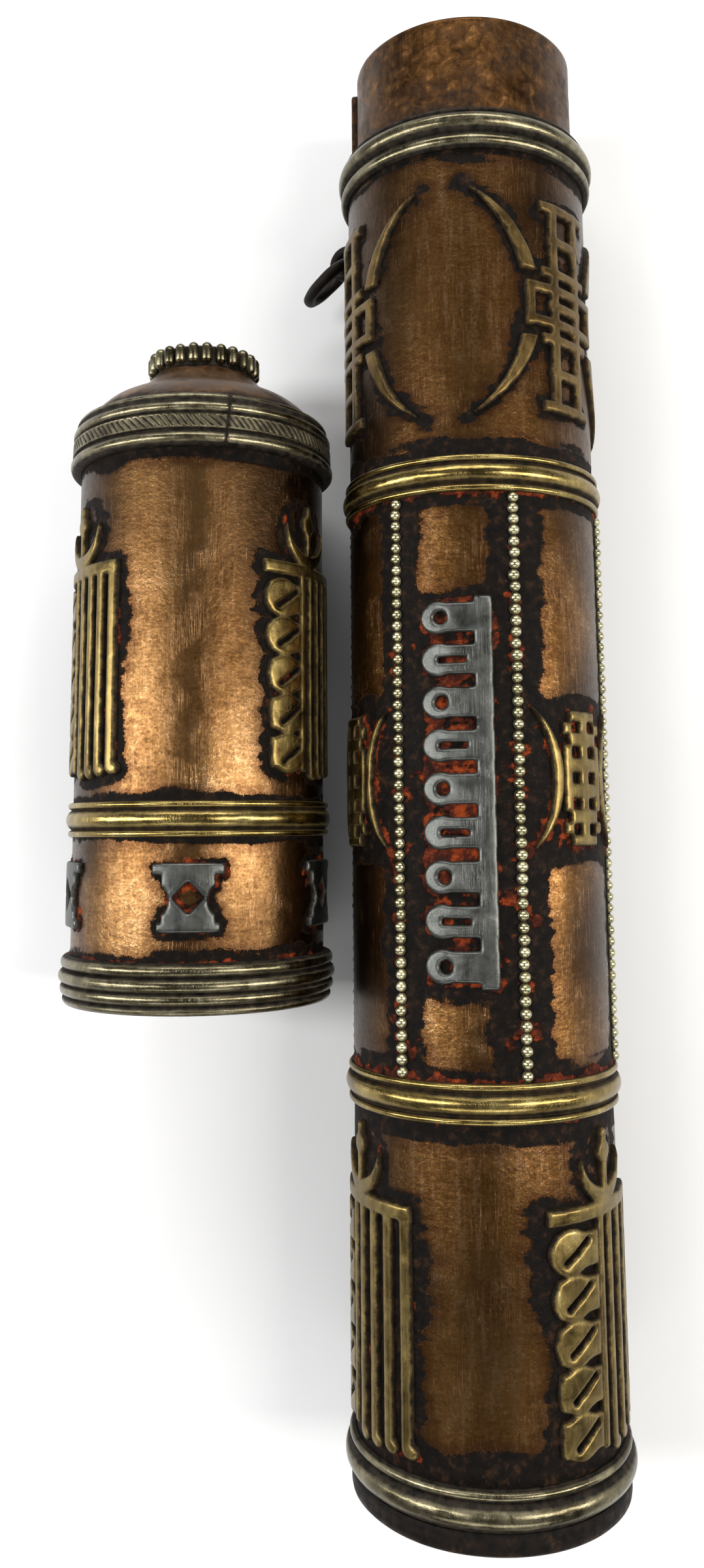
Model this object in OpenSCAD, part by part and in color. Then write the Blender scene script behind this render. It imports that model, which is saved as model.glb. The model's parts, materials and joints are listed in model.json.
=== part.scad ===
// A cylindrical case for a rolled prayer scroll, lying beside its cap.
// The case runs along +Y from its foot at the origin to the rim of its plain neck.
// Angles round the case are measured from +Z towards +X.

/* [Case] */
// Outer radius of the copper tube
tube_r = 25; // [24:0.1:27]
// Wall thickness of the tube, the neck and the cap
wall = 0.8; // [0.6:0.05:0.9]
// Length of the case from its foot to the rim of its neck
case_len = 281.2; // [275:0.1:300]
// Length of neck left showing above the top ring
neck_len = 21.3; // [15:0.1:24]
// Height of the middle of the lower brass ring
lower_ring_y = 72.3; // [67:0.1:75]
// Height of the middle of the upper brass ring
upper_ring_y = 186.3; // [181:0.1:189]
// Radius that the case rests on, at its top and base rings
rest_r = 27; // [26.5:0.1:28]

/* [Neck] */
// Gap between the neck and the copper that slides over it
neck_play = 1.5; // [1.2:0.05:1.6]
// Thickness of the lapped seam strip on the neck
seam_t = 1.2; // [0.6:0.05:1.25]

/* [Cap] */
// Length of the cap from its mouth to the top of its finial
cap_len = 133.5; // [131:0.1:140]
// Distance between the middle lines of the case and the cap
cap_gap = 56.3; // [55.5:0.1:80]
// Height of the cap's mouth along the case
cap_y = 87.1; // [80:0.1:90]
// Largest radius of the cap, at its shoulder and mouth rings
cap_rest_r = 27.4; // [27:0.1:28]

/* [Ornament] */
// How far the cut-out ornaments stand proud of the copper
relief = 1; // [0.6:0.1:1.2]
// Middle of the white plaque panel that faces up on the case
window_a = -9; // [-30:0.5:30]
// Middle of the bare window between the upper crescents
upper_window_a = -11; // [-30:0.5:30]
// Angle that a panel with a white plaque takes up
plaque_panel_a = 53; // [50:1:60]
// Middle of the bare window at the foot of the case
foot_window_a = -4; // [-30:0.5:30]
// Middle of the bare window on the cap
cap_window_a = 6; // [-30:0.5:30]
// Number of white ornaments round the cap's lower band
band_count = 5; // [4:1:6]
// Number of beads round the finial
finial_count = 24; // [20:1:26]

/* [Suspension ring] */
// Angle of the lug round the case
lug_a = -112; // [-125:1:-105]
// Height of the lug's eye along the case
lug_y = 246; // [238:0.5:247]
// Radius of the ring at the middle of its wire
hoop_r = 5.9; // [5:0.1:7]
// Radius of the ring's wire
hoop_wire_r = 1.3; // [1:0.05:1.4]
// Lean of the ring away from straight out, towards the foot
hoop_lean = 37; // [0:1:60]
// Turn of the ring in its eye, away from square to the case
hoop_twist = -25; // [-25:1:0]

/* [Scroll] */
// Radius of the rolled paper
scroll_r = 20.8; // [15:0.1:21]
// Radius of the wooden roller
roller_r = 3.5; // [3:0.1:5]

/* [Hidden] */
$fn = 96;

copper = [0.66, 0.42, 0.24];
dark_copper = [0.33, 0.22, 0.16];
brass = [0.72, 0.60, 0.30];
white_metal = [0.72, 0.71, 0.66];
iron = [0.12, 0.11, 0.11];
wood = [0.45, 0.27, 0.15];
paper = [0.85, 0.78, 0.62];

// Axial layout of the case
plate_t = 1.2;
rim_h = 3.7;
base_ring_w = 6.7;
brass_ring_w = 7.1;
top_ring_w = 8.3;
top_ring_y = case_len - neck_len - top_ring_w;
tube_end = top_ring_y + top_ring_w / 2;
neck_inside = 26;
neck_r = tube_r - wall - neck_play + 0.25;
lower_mid = (rim_h + base_ring_w + lower_ring_y - brass_ring_w / 2) / 2;
panel_mid = (lower_ring_y + upper_ring_y) / 2;
panel_h = upper_ring_y - lower_ring_y - brass_ring_w;
upper_mid = (upper_ring_y + brass_ring_w / 2 + top_ring_y) / 2;

// Layout of the cap, measured up from its mouth
cap_r = tube_r + 0.25;
cap_in_r = cap_r - wall;
cap_z = cap_rest_r - rest_r;
mouth_ring_w = 9.3;
mid_ring_s = 35.2;
mid_ring_w = 6.7;
shoulder_s = 106;
shoulder_w = 11.2;
cap_tube_end = 109;
dome_foot_s = shoulder_s + shoulder_w;
finial_h = 5.2;
dome_top_s = cap_len - finial_h;
shoulder_in_r = 22;
dome_foot_r = 24.2;
dome_top_r = 10.4;
rivet_r = 2;
button_r = 10.3;

// Ornament
pendant_h = 56.5;
foot_pendant_w = 26.5;
cap_pendant_w = 23;
upper_h = 47;
panel_motif_h = 27;
plaque_w = 13;
plaque_h = 71;
plaque_y = 127.3;
cap_pendant_y = 70.3;
band_y = 20.9;
band_a = 7.5;
band_w = 13;
band_h = 12.4;
wire_r = 1.15;

// Lug
lug_d = tube_r + 3.4;
eye_r = 3;
eye_wire_r = 1.15;
lug_plate_t = 1;
lug_plate_r = 5.2;

// ---- helpers ----

// Turns a shape that stands on Z so that it runs along +Y
module along_y() {
  rotate([-90, 0, 0]) children();
}

// A tube wall between two radii, from y0 to y1
module shell(r_in, r_out, y0, y1) {
  along_y() translate([0, 0, y0]) difference() {
    cylinder(r = r_out, h = y1 - y0);
    translate([0, 0, -1]) cylinder(r = r_in, h = y1 - y0 + 2);
  }
}

// Pushes a flat outline out through the wall at angle a and height y
module on_wall(r, a, y) {
  rotate([0, a, 0]) translate([0, y, r - 7]) linear_extrude(height = 10) children();
}

// Keeps only what stands between the wall and the relief height
module relief_of(r, y0, y1) {
  intersection() {
    shell(r, r + relief, y0, y1);
    union() children();
  }
}

module bar(x, y, w, h) {
  translate([x - w / 2, y - h / 2]) square([w, h]);
}

// A vertical bar with round ends
module pill(x, y0, y1, w) {
  bar(x, (y0 + y1) / 2, w, y1 - y0);
  translate([x, y0]) circle(d = w, $fn = 24);
  translate([x, y1]) circle(d = w, $fn = 24);
}

function arc_radius(half, sag) = (half * half + sag * sag) / (2 * sag);

// Tips at (0, +-half), bulging towards +X between two arcs
module crescent(half, sag_in, sag_out) {
  difference() {
    translate([sag_out - arc_radius(half, sag_out), 0]) circle(r = arc_radius(half, sag_out));
    translate([sag_in - arc_radius(half, sag_in), 0]) circle(r = arc_radius(half, sag_in));
  }
}

// A ring's half section: a flat band and round beads at [height, half width, proud]
module bead_section(r_in, w, band_t, beads) {
  translate([r_in, 0]) square([band_t, w]);
  intersection() {
    translate([r_in, 0]) square([5, w]);
    for (b = beads) translate([r_in + b[2] - b[1], b[0]]) circle(r = b[1], $fn = 48);
  }
}

module brass_ring(r_in, w, proud) {
  rotate_extrude() bead_section(r_in, w, 0.35,
    [[w / 2, 2.2, proud], [0.65, 0.65, 0.95], [w - 0.65, 0.65, 0.95]]);
}

module on_cap() {
  translate([-cap_gap, cap_y, cap_z]) children();
}

// ---- ornament outlines ----

// Ladder on two uprights, with rungs that are wide and narrow by turns
module fret(w, h, rungs, t) {
  for (x = [-w / 4, w / 4]) bar(x, 0, t, h);
  for (i = [0 : rungs - 1])
    bar(0, -h / 2 + t / 2 + i * (h - t) / (rungs - 1), i % 2 == 0 ? w : w * 0.72, t);
}

// Ladder with a closed block on each side at its middle
module winged_fret(w, h, rungs, t, wing) {
  fret(w, h, rungs, t);
  for (y = [-3.4, 3.4]) bar(0, y, wing, t);
  for (x = [-1, 1]) bar(x * (wing / 2 - 1), 0, 2, 6.8 + t);
}

// Tall openwork strip: fat round-ended teeth on a spine, pierced with holes and slots by turns
module comb_strip(w, h, units) {
  unit = h / units;
  tooth_r = unit * 0.39;
  bar(w / 2 - 1.6, 0, 3.2, h);
  for (i = [0 : units - 1]) {
    y = -h / 2 + (i + 0.5) * unit;
    x = -w / 2 + tooth_r;
    difference() {
      union() {
        bar(x + (w / 2 - 1.5 - x) / 2, y, w / 2 - 1.5 - x, 2 * tooth_r - 0.6);
        translate([x, y]) circle(r = tooth_r, $fn = 48);
      }
      if (i % 2 == 0) translate([x + 0.6, y]) circle(r = 1.2, $fn = 32);
      else bar(x + 2.6, y, 5.2, 1.1);
    }
  }
}

// Tall hanging ornament: horns and a flame over a yoke, lobes on the left, bars on the right
module pendant(w, h) {
  yoke = h * 0.235;
  foot = -h / 2;
  t = 2.1;
  bar(0, yoke, w, 2.8);
  pill(0, yoke, h / 2 - 2.2, 1.7);
  translate([0, h / 2 - 5.4]) circle(r = 2, $fn = 32);
  difference() {
    translate([0, yoke + 7.2]) circle(r = 6.6);
    translate([0, yoke + 9.8]) circle(r = 6.2);
    bar(0, yoke + 20, 30, 14);
  }
  gap = (w / 2 - t) / 3;
  for (i = [0 : 3]) {
    x = t / 2 + i * gap;
    pill(x, foot + 2 + i * 0.3, yoke, t);
    translate([x + 0.7, foot + 1.8 + i * 0.3]) circle(r = 1.3, $fn = 24);
  }
  bar(-t * 0.9, (yoke + foot) / 2 + 1, t * 0.9, yoke - foot - 2);
  lobe = (yoke - foot - 4) / 10;
  for (i = [0 : 4]) {
    x = -w / 2 + lobe + 0.4 + i * 0.35;
    y = yoke - 2.2 - lobe * (2 * i + 1);
    difference() {
      union() {
        bar(-w / 4 - 0.6, y, w / 2 - lobe - 0.6, lobe * 1.6);
        translate([x, y]) circle(r = lobe * 1.06, $fn = 40);
      }
      translate([x + 1.2, y]) rotate(35) bar(0, 0, lobe * 1.7, 0.8);
    }
  }
}

// A narrow plate with notched sides and two rows of small windows
module pierced_plate(w, h) {
  difference() {
    bar(0, 0, w, h);
    for (i = [-2 : 2], side = [-1, 1])
      bar(side * w * 0.21, i * h * 0.19, 2.1, 1.9);
    for (i = [-1, 1], side = [-1, 1]) {
      bar(side * w / 2, i * h * 0.285, 2.8, 1.7);
      bar(side * w / 2, i * h * 0.5, 3.4, 4.4);
    }
  }
}

// A waisted plate with a lozenge hole
module lozenge_plate(w, h) {
  difference() {
    union() {
      bar(0, h / 2 - 1, w, 2);
      bar(0, 0, w * 0.74, h);
      bar(0, -h / 2 + 0.9, w * 0.88, 1.8);
    }
    rotate(45) square(h * 0.34, center = true);
    for (side = [-1, 1]) translate([side * w * 0.5, -h * 0.04]) circle(r = h * 0.24, $fn = 40);
  }
}

// ---- case ----

module body_tube() {
  color(copper) shell(tube_r - wall, tube_r, plate_t, tube_end);
}

module base_plate() {
  color(dark_copper) along_y() cylinder(r = tube_r, h = plate_t);
}

module base_rim() {
  color(dark_copper) along_y() rotate_extrude()
    polygon([[tube_r, 0], [tube_r + 0.5, 0], [tube_r + 0.9, 1], [tube_r + 0.9, rim_h], [tube_r, rim_h]]);
}

module base_ring() {
  color(white_metal) translate([0, rim_h, 0]) along_y() rotate_extrude()
    bead_section(tube_r, base_ring_w, 0.4,
      [[2.5, 2.4, rest_r - tube_r], [5.75, 0.75, 1.2]]);
}

module lower_brass_ring() {
  color(brass) translate([0, lower_ring_y - brass_ring_w / 2, 0]) along_y()
    brass_ring(tube_r, brass_ring_w, 1.5);
}

module upper_brass_ring() {
  color(brass) translate([0, upper_ring_y - brass_ring_w / 2, 0]) along_y()
    brass_ring(tube_r, brass_ring_w, 1.5);
}

module top_ring() {
  step = tube_end - top_ring_y;
  color(white_metal) translate([0, top_ring_y, 0]) along_y() rotate_extrude() {
    bead_section(tube_r, top_ring_w, 0.45,
      [[1.5, 1.45, 1.5], [5.35, 2.15, rest_r - tube_r], [7.85, 0.4, 0.9]]);
    translate([neck_r, step]) square([tube_r - neck_r + 0.2, top_ring_w - step]);
  }
}

// The sleeve is swaged wider where it sits inside the tube
module neck_sleeve() {
  seat_r = tube_r - wall;
  y0 = tube_end - neck_inside;
  color(dark_copper) along_y() rotate_extrude()
    polygon([[seat_r - wall, y0], [seat_r, y0], [seat_r, tube_end - 3], [neck_r, tube_end - 1.5],
             [neck_r, case_len], [neck_r - wall, case_len], [neck_r - wall, tube_end - 2.3],
             [seat_r - wall, tube_end - 3.8]]);
}

module neck_seam_strip() {
  y0 = top_ring_y + top_ring_w;
  color(dark_copper) translate([0, y0, 0]) along_y() rotate([0, 0, 120])
    rotate_extrude(angle = 64) translate([neck_r, 0]) square([seam_t, neck_len - 1.5]);
}

// Horns with a gap at their middle, and with a horn's tip cut back round the lug
module upper_crescents() {
  y = upper_mid;
  color(brass) difference() {
    relief_of(tube_r, y - 30, y + 30)
      for (i = [0 : 2], side = [-1, 1])
        on_wall(tube_r, upper_window_a + i * 120 + side * 26, y)
          translate([-side * 7, 0]) mirror([side < 0 ? 1 : 0, 0]) difference() {
            crescent(upper_h / 2, 11.5, 15);
            bar(0, 0, 60, 13);
          }
    rotate([0, lug_a, 0]) translate([0, lug_y, 0])
      cylinder(r = lug_plate_r + 0.4, h = tube_r + 5, $fn = 64);
  }
}

module upper_frets() {
  y = upper_mid;
  color(brass) relief_of(tube_r, y - 30, y + 30)
    for (i = [0 : 2])
      on_wall(tube_r, upper_window_a + 60 + i * 120, y) winged_fret(13, 43, 7, 2.3, 19.6);
}

// Half-round wires that frame the panels
module panel_wires() {
  y0 = lower_ring_y + brass_ring_w / 2;
  color(white_metal)
    for (i = [0 : 2], side = [-1, 1])
      rotate([0, window_a + i * 120 + side * plaque_panel_a / 2, 0]) difference() {
        translate([0, y0, tube_r + 0.3]) along_y() cylinder(r = wire_r, h = panel_h, $fn = 32);
        translate([0, y0 - 1, 0]) along_y() cylinder(r = tube_r, h = panel_h + 2);
      }
}

module panel_plaques() {
  color(white_metal) relief_of(tube_r, plaque_y - 40, plaque_y + 40)
    for (i = [0 : 2])
      on_wall(tube_r, window_a + 1 + i * 120, plaque_y) comb_strip(plaque_w, plaque_h, 9);
}

module panel_crescents() {
  color(brass) relief_of(tube_r, panel_mid - 20, panel_mid + 20)
    for (i = [0 : 2], side = [-1, 1])
      on_wall(tube_r, window_a + 60 + i * 120 + side * 22, panel_mid)
        translate([side * 3.2, 0]) mirror([side < 0 ? 0 : 1, 0])
          crescent(panel_motif_h / 2, 5, 7.3);
}

module panel_frets() {
  color(brass) relief_of(tube_r, panel_mid - 20, panel_mid + 20)
    for (i = [0 : 2])
      on_wall(tube_r, window_a + 60 + i * 120, panel_mid) pierced_plate(11, 25);
}

module foot_pendants() {
  color(brass) relief_of(tube_r, lower_mid - 30, lower_mid + 30)
    for (i = [0 : 2])
      on_wall(tube_r, foot_window_a + 60 + i * 120, lower_mid) pendant(foot_pendant_w, pendant_h);
}

// ---- lug and ring ----

module lug_plate() {
  color(iron) intersection() {
    shell(tube_r, tube_r + lug_plate_t, lug_y - 8, lug_y + 8);
    rotate([0, lug_a, 0]) translate([0, lug_y, 0]) cylinder(r = lug_plate_r, h = tube_r + 5, $fn = 64);
  }
}

module lug_eye() {
  color(iron) difference() {
    rotate([0, lug_a, 0]) translate([0, lug_y, lug_d]) rotate([0, 90, 0])
      rotate_extrude() translate([eye_r, 0]) circle(r = eye_wire_r, $fn = 32);
    translate([0, lug_y - 10, 0]) along_y() cylinder(r = tube_r + lug_plate_t, h = 20);
  }
}

module suspension_ring() {
  color(iron) rotate([0, lug_a, 0]) translate([0, lug_y, lug_d])
    rotate([hoop_lean, 0, 0]) rotate([0, 0, hoop_twist]) translate([0, 0, hoop_r])
      rotate([90, 0, 0]) rotate_extrude() translate([hoop_r, 0]) circle(r = hoop_wire_r, $fn = 32);
}

// ---- cap ----

module cap_tube() {
  color(copper) on_cap() shell(cap_in_r, cap_r, 0, cap_tube_end);
}

// Ogee outline of the dome: k runs from its foot, 0, to its top, 1
function dome_point(k, inset) =
  [dome_foot_r + (dome_top_r - dome_foot_r) * k - inset,
   dome_foot_s + (dome_top_s - dome_foot_s) * (k + 0.07 * sin(360 * k)) - inset * min(0.4, 4 * k)];

module cap_dome() {
  steps = 16;
  outer = [for (i = [0 : steps]) dome_point(i / steps, 0)];
  inner = [for (i = [steps : -1 : 0]) dome_point(i / steps, wall)];
  color(copper) on_cap() along_y() difference() {
    rotate_extrude() union() {
      polygon(concat(outer, [[dome_top_r - wall, dome_top_s - wall]], inner,
                     [[dome_foot_r - wall, dome_foot_s]]));
      translate([0, dome_top_s - wall]) square([dome_top_r - 0.2, wall]);
    }
    translate([0, 0, dome_top_s - 5]) cylinder(r = rivet_r, h = 10);
  }
}

module cap_shoulder_ring() {
  step = cap_tube_end - shoulder_s;
  color(white_metal) on_cap() translate([0, shoulder_s, 0]) along_y() rotate_extrude()
    difference() {
      union() {
        polygon([[cap_r - 0.5, 0], [cap_r + 0.9, 0], [26.4, 1], [26.4, 3.1], [27, 3.4], [26.9, 6.1],
                 [26.3, 6.5], [25.9, 10.2], [25.2, 10.9], [dome_foot_r, shoulder_w],
                 [shoulder_in_r, shoulder_w], [shoulder_in_r, step]]);
        translate([cap_rest_r - 1.45, 1.45]) circle(r = 1.45, $fn = 48);
        translate([26.9 - 1.2, 7.7]) circle(r = 1.2, $fn = 48);
        translate([26.2 - 0.9, 9.8]) circle(r = 0.9, $fn = 32);
      }
      translate([0, -1]) square([cap_r, step + 1]);
      translate([0, -3]) square([40, 3]);
      square([shoulder_in_r, 20]);
    }
}

module cap_mid_ring() {
  color(brass) on_cap() translate([0, mid_ring_s - mid_ring_w / 2, 0]) along_y()
    brass_ring(cap_r, mid_ring_w, 1.35);
}

module cap_mouth_ring() {
  p = cap_rest_r - cap_r;
  color(white_metal) on_cap() along_y() rotate_extrude()
    bead_section(cap_r, mouth_ring_w, 0.5,
      [[0.9, 0.9, 1.3], [2.9, 1.2, p - 0.35], [5.3, 1.3, p], [7.9, 1.3, p - 0.4]]);
}

module cap_pendants() {
  y = cap_pendant_y;
  color(brass) on_cap() relief_of(cap_r, y - 30, y + 30)
    for (i = [0 : 2])
      on_wall(cap_r, cap_window_a + 60 + i * 120, y) pendant(cap_pendant_w, pendant_h);
}

module cap_band_plaques() {
  y = band_y;
  color(white_metal) on_cap() relief_of(cap_r, y - 10, y + 10)
    for (i = [0 : band_count - 1])
      on_wall(cap_r, band_a + i * 360 / band_count, y) lozenge_plate(band_w, band_h);
}

module finial_button() {
  color(white_metal) on_cap() translate([0, dome_top_s, 0]) along_y() difference() {
    rotate_extrude()
      polygon([[0, 0], [button_r, 0], [button_r, 4.1], [9.2, 4.4], [8.6, 4.5], [6, 5], [3, finial_h],
               [0, finial_h]]);
    translate([0, 0, -1]) cylinder(r = rivet_r, h = 3.5);
  }
}

module finial_beads() {
  color(white_metal) on_cap() translate([0, dome_top_s, 0]) along_y() difference() {
    for (i = [0 : finial_count - 1])
      rotate([0, 0, i * 360 / finial_count]) translate([button_r + 0.4, 0, 1.3]) {
        cylinder(r = 1.25, h = 2, $fn = 24);
        sphere(r = 1.25, $fn = 24);
        translate([0, 0, 2]) sphere(r = 1.25, $fn = 24);
      }
    translate([0, 0, -1]) cylinder(r = button_r, h = 8);
  }
}

// Rivet that clinches the finial through the dome over a washer
module finial_rivet() {
  under = dome_top_s - wall;
  color(brass) on_cap() along_y() {
    translate([0, 0, under - 2.4]) cylinder(r = 3.4, h = 1.2);
    translate([0, 0, under - 1.2]) cylinder(r = 6, h = 1.2);
    translate([0, 0, under]) cylinder(r = rivet_r, h = wall + 2.5);
  }
}

// ---- scroll ----

roll_y0 = 17;
roll_y1 = 259;
knob_len = 11;

module knob() {
  rotate_extrude()
    polygon([[0, 0], [roller_r, 0], [5, 1], [8.2, 2.2], [9, 4], [8.6, 6], [6.4, 7.6], [5.4, 8.4],
             [6.2, 9.4], [5, 10.6], [2, knob_len], [0, knob_len]]);
}

module scroll_roller() {
  color(wood) union() {
    along_y() translate([0, 0, roll_y0 - 2]) cylinder(r = roller_r, h = roll_y1 - roll_y0 + 4);
    translate([0, roll_y1 + 2, 0]) along_y() knob();
    translate([0, roll_y0 - 2, 0]) mirror([0, 1, 0]) along_y() knob();
  }
}

module scroll_paper() {
  color(paper) shell(roller_r, scroll_r, roll_y0, roll_y1);
}

module scroll_bands() {
  color("firebrick")
    for (y = [roll_y0 + 40, (roll_y0 + roll_y1) / 2, roll_y1 - 14])
      shell(scroll_r, scroll_r + 0.4, y - 4, y + 4);
}

body_tube();
base_plate();
base_rim();
base_ring();
lower_brass_ring();
upper_brass_ring();
top_ring();
neck_sleeve();
neck_seam_strip();
upper_crescents();
upper_frets();
panel_wires();
panel_plaques();
panel_crescents();
panel_frets();
foot_pendants();
lug_plate();
lug_eye();
suspension_ring();
cap_tube();
cap_dome();
cap_shoulder_ring();
cap_mid_ring();
cap_mouth_ring();
cap_pendants();
cap_band_plaques();
finial_button();
finial_beads();
finial_rivet();
scroll_roller();
scroll_paper();
scroll_bands();
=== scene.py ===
# Looks of the prayer scroll case: its case, cap, carrying ring and scroll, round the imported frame.
import json
import math
from collections import namedtuple

import bmesh
import bpy
import numpy as np
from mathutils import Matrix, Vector


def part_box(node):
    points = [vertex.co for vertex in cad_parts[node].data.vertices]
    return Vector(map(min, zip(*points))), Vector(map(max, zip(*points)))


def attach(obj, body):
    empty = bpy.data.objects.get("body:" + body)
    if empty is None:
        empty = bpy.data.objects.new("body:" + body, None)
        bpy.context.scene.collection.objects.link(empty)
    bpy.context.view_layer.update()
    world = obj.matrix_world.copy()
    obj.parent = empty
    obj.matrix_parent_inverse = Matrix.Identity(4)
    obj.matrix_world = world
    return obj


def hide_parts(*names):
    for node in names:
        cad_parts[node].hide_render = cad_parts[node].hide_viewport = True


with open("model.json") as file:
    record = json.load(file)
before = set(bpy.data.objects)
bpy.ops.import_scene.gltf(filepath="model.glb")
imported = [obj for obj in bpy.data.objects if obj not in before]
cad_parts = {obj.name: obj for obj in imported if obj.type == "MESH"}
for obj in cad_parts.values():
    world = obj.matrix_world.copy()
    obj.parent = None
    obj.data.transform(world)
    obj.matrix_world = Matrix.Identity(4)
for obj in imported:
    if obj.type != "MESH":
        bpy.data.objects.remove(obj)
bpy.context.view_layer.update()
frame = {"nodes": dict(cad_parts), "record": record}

MM = 0.001
RNG = np.random.default_rng(11)


# ---------------------------------------------------------------- places, from the frame
def node_box(name):
    """Lowest and highest corner of a node, in millimetres."""
    lo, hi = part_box(name)
    return np.array(lo) / MM, np.array(hi) / MM


def span(name):
    """Where a node starts and ends along the case, in millimetres."""
    lo, hi = node_box(name)
    return lo[1], hi[1]


tube_lo, tube_hi = node_box("body_tube")
TUBE_R = (tube_hi[2] - tube_lo[2]) / 2
cap_lo, cap_hi = node_box("cap_tube")
CAP_R = (cap_hi[2] - cap_lo[2]) / 2
CAP_X = (cap_hi[0] + cap_lo[0]) / 2
CAP_Z = (cap_hi[2] + cap_lo[2]) / 2
CAP_Y = cap_lo[1]
CASE_AXIS = (0.0, 0.0)
CAP_AXIS = (CAP_X, CAP_Z)
WALL = 0.8
NECK_INSET = 1.25    # from the tube's bore in to the neck's outside
NECK_R = TUBE_R - WALL - NECK_INSET
REST_R = node_box("base_ring")[1][2]
CASE_LEN = span("neck_sleeve")[1]

# Angles round the case, in degrees from +Z towards +X, as in the part's source
WINDOW_A = -9.0
UPPER_WINDOW_A = -11.0
PLAQUE_PANEL_A = 53.0
FOOT_WINDOW_A = -4.0
CAP_WINDOW_A = 6.0
BAND_A = 7.5
BAND_COUNT = 5
LUG_A = -112.0
STRIP_A = (-150.0, -86.0)
SEAM_A = 22.0
# Sizes that can't be read off a node's box, as in the part's source
RELIEF = 1.0
DOME_FOOT_R = 24.2
DOME_TOP_R = 10.4
BUTTON_R = 10.3
FINIAL_COUNT = 24
ROLLER_R = 3.5


def middle(name):
    return sum(span(name)) / 2


# ---------------------------------------------------------------- camera, light and floor
def make_camera():
    """The view from just above the two pieces, a little off to one side, as a phone is held."""
    cam_data = bpy.data.cameras.new("camera")
    cam_data.sensor_fit = "AUTO"
    cam_data.sensor_width = 36.0
    cam_data.lens = 28.4
    cam_data.shift_y = -1 / 12
    cam_data.dof.use_dof = False
    cam_data.clip_start = 0.01
    cam = bpy.data.objects.new("camera", cam_data)
    cam.location = (-3.7 * MM, 120.2 * MM, 251.3 * MM)
    cam.rotation_euler = tuple(math.radians(v) for v in (8.05, 4.88, -0.40))
    bpy.context.collection.objects.link(cam)
    bpy.context.scene.camera = cam


def area_light(name, place, aim, size, energy, colour=(1.0, 1.0, 1.0)):
    data = bpy.data.lights.new(name, "AREA")
    data.shape = "RECTANGLE"
    data.size, data.size_y = size
    data.energy = energy
    data.color = colour
    lamp = bpy.data.objects.new(name, data)
    lamp.location = place
    away = Vector(place) - Vector(aim)
    lamp.rotation_euler = away.to_track_quat("Z", "Y").to_euler()
    bpy.context.collection.objects.link(lamp)


def make_lights():
    world = bpy.data.worlds.new("studio")
    bpy.context.scene.world = world
    world.use_nodes = True
    background = world.node_tree.nodes["Background"]
    background.inputs["Color"].default_value = (0.95, 0.97, 1.0, 1.0)
    background.inputs["Strength"].default_value = 0.21
    bpy.context.scene.view_settings.view_transform = "Standard"
    middle_of_case = (-0.02, CASE_LEN * MM / 2, 0.0)
    area_light("window_left", (-0.76, 0.17, 0.60), middle_of_case, (0.20, 1.05), 10.5)
    area_light("window_right", (0.76, 0.12, 0.64), middle_of_case, (0.22, 1.0), 11.5, (1.0, 0.97, 0.92))
    area_light("window_far", (0.0, 1.1, 0.62), middle_of_case, (1.2, 0.3), 11.0)
    area_light("window_near", (0.0, -0.75, 0.60), middle_of_case, (1.2, 0.25), 5.0)


def make_floor():
    mesh = bpy.data.meshes.new("floor")
    half = 1.6
    z = -REST_R * MM
    corners = [(-half, -half, z), (half, -half, z), (half, half, z), (-half, half, z)]
    mesh.from_pydata(corners, [], [(0, 1, 2, 3)])
    floor = bpy.data.objects.new("floor", mesh)
    bpy.context.collection.objects.link(floor)
    mat = Shader("floor_paper")
    grain = mat.noise(90, detail=4)
    colour = mat.mix(grain, (0.66, 0.66, 0.66), (0.69, 0.69, 0.69))
    mesh.materials.append(mat.finish(colour, mat.fit(grain, 0.75, 0.9)))


# ---------------------------------------------------------------- materials
class Value:
    """A node's output, which adds, subtracts and multiplies like a number."""

    def __init__(self, shader, socket):
        self.shader = shader
        self.socket = socket

    def __add__(self, other):
        return self.shader.math("ADD", self, other)

    def __sub__(self, other):
        return self.shader.math("SUBTRACT", self, other)

    def __rsub__(self, other):
        return self.shader.math("SUBTRACT", other, self)

    def __mul__(self, other):
        return self.shader.math("MULTIPLY", self, other)


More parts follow.
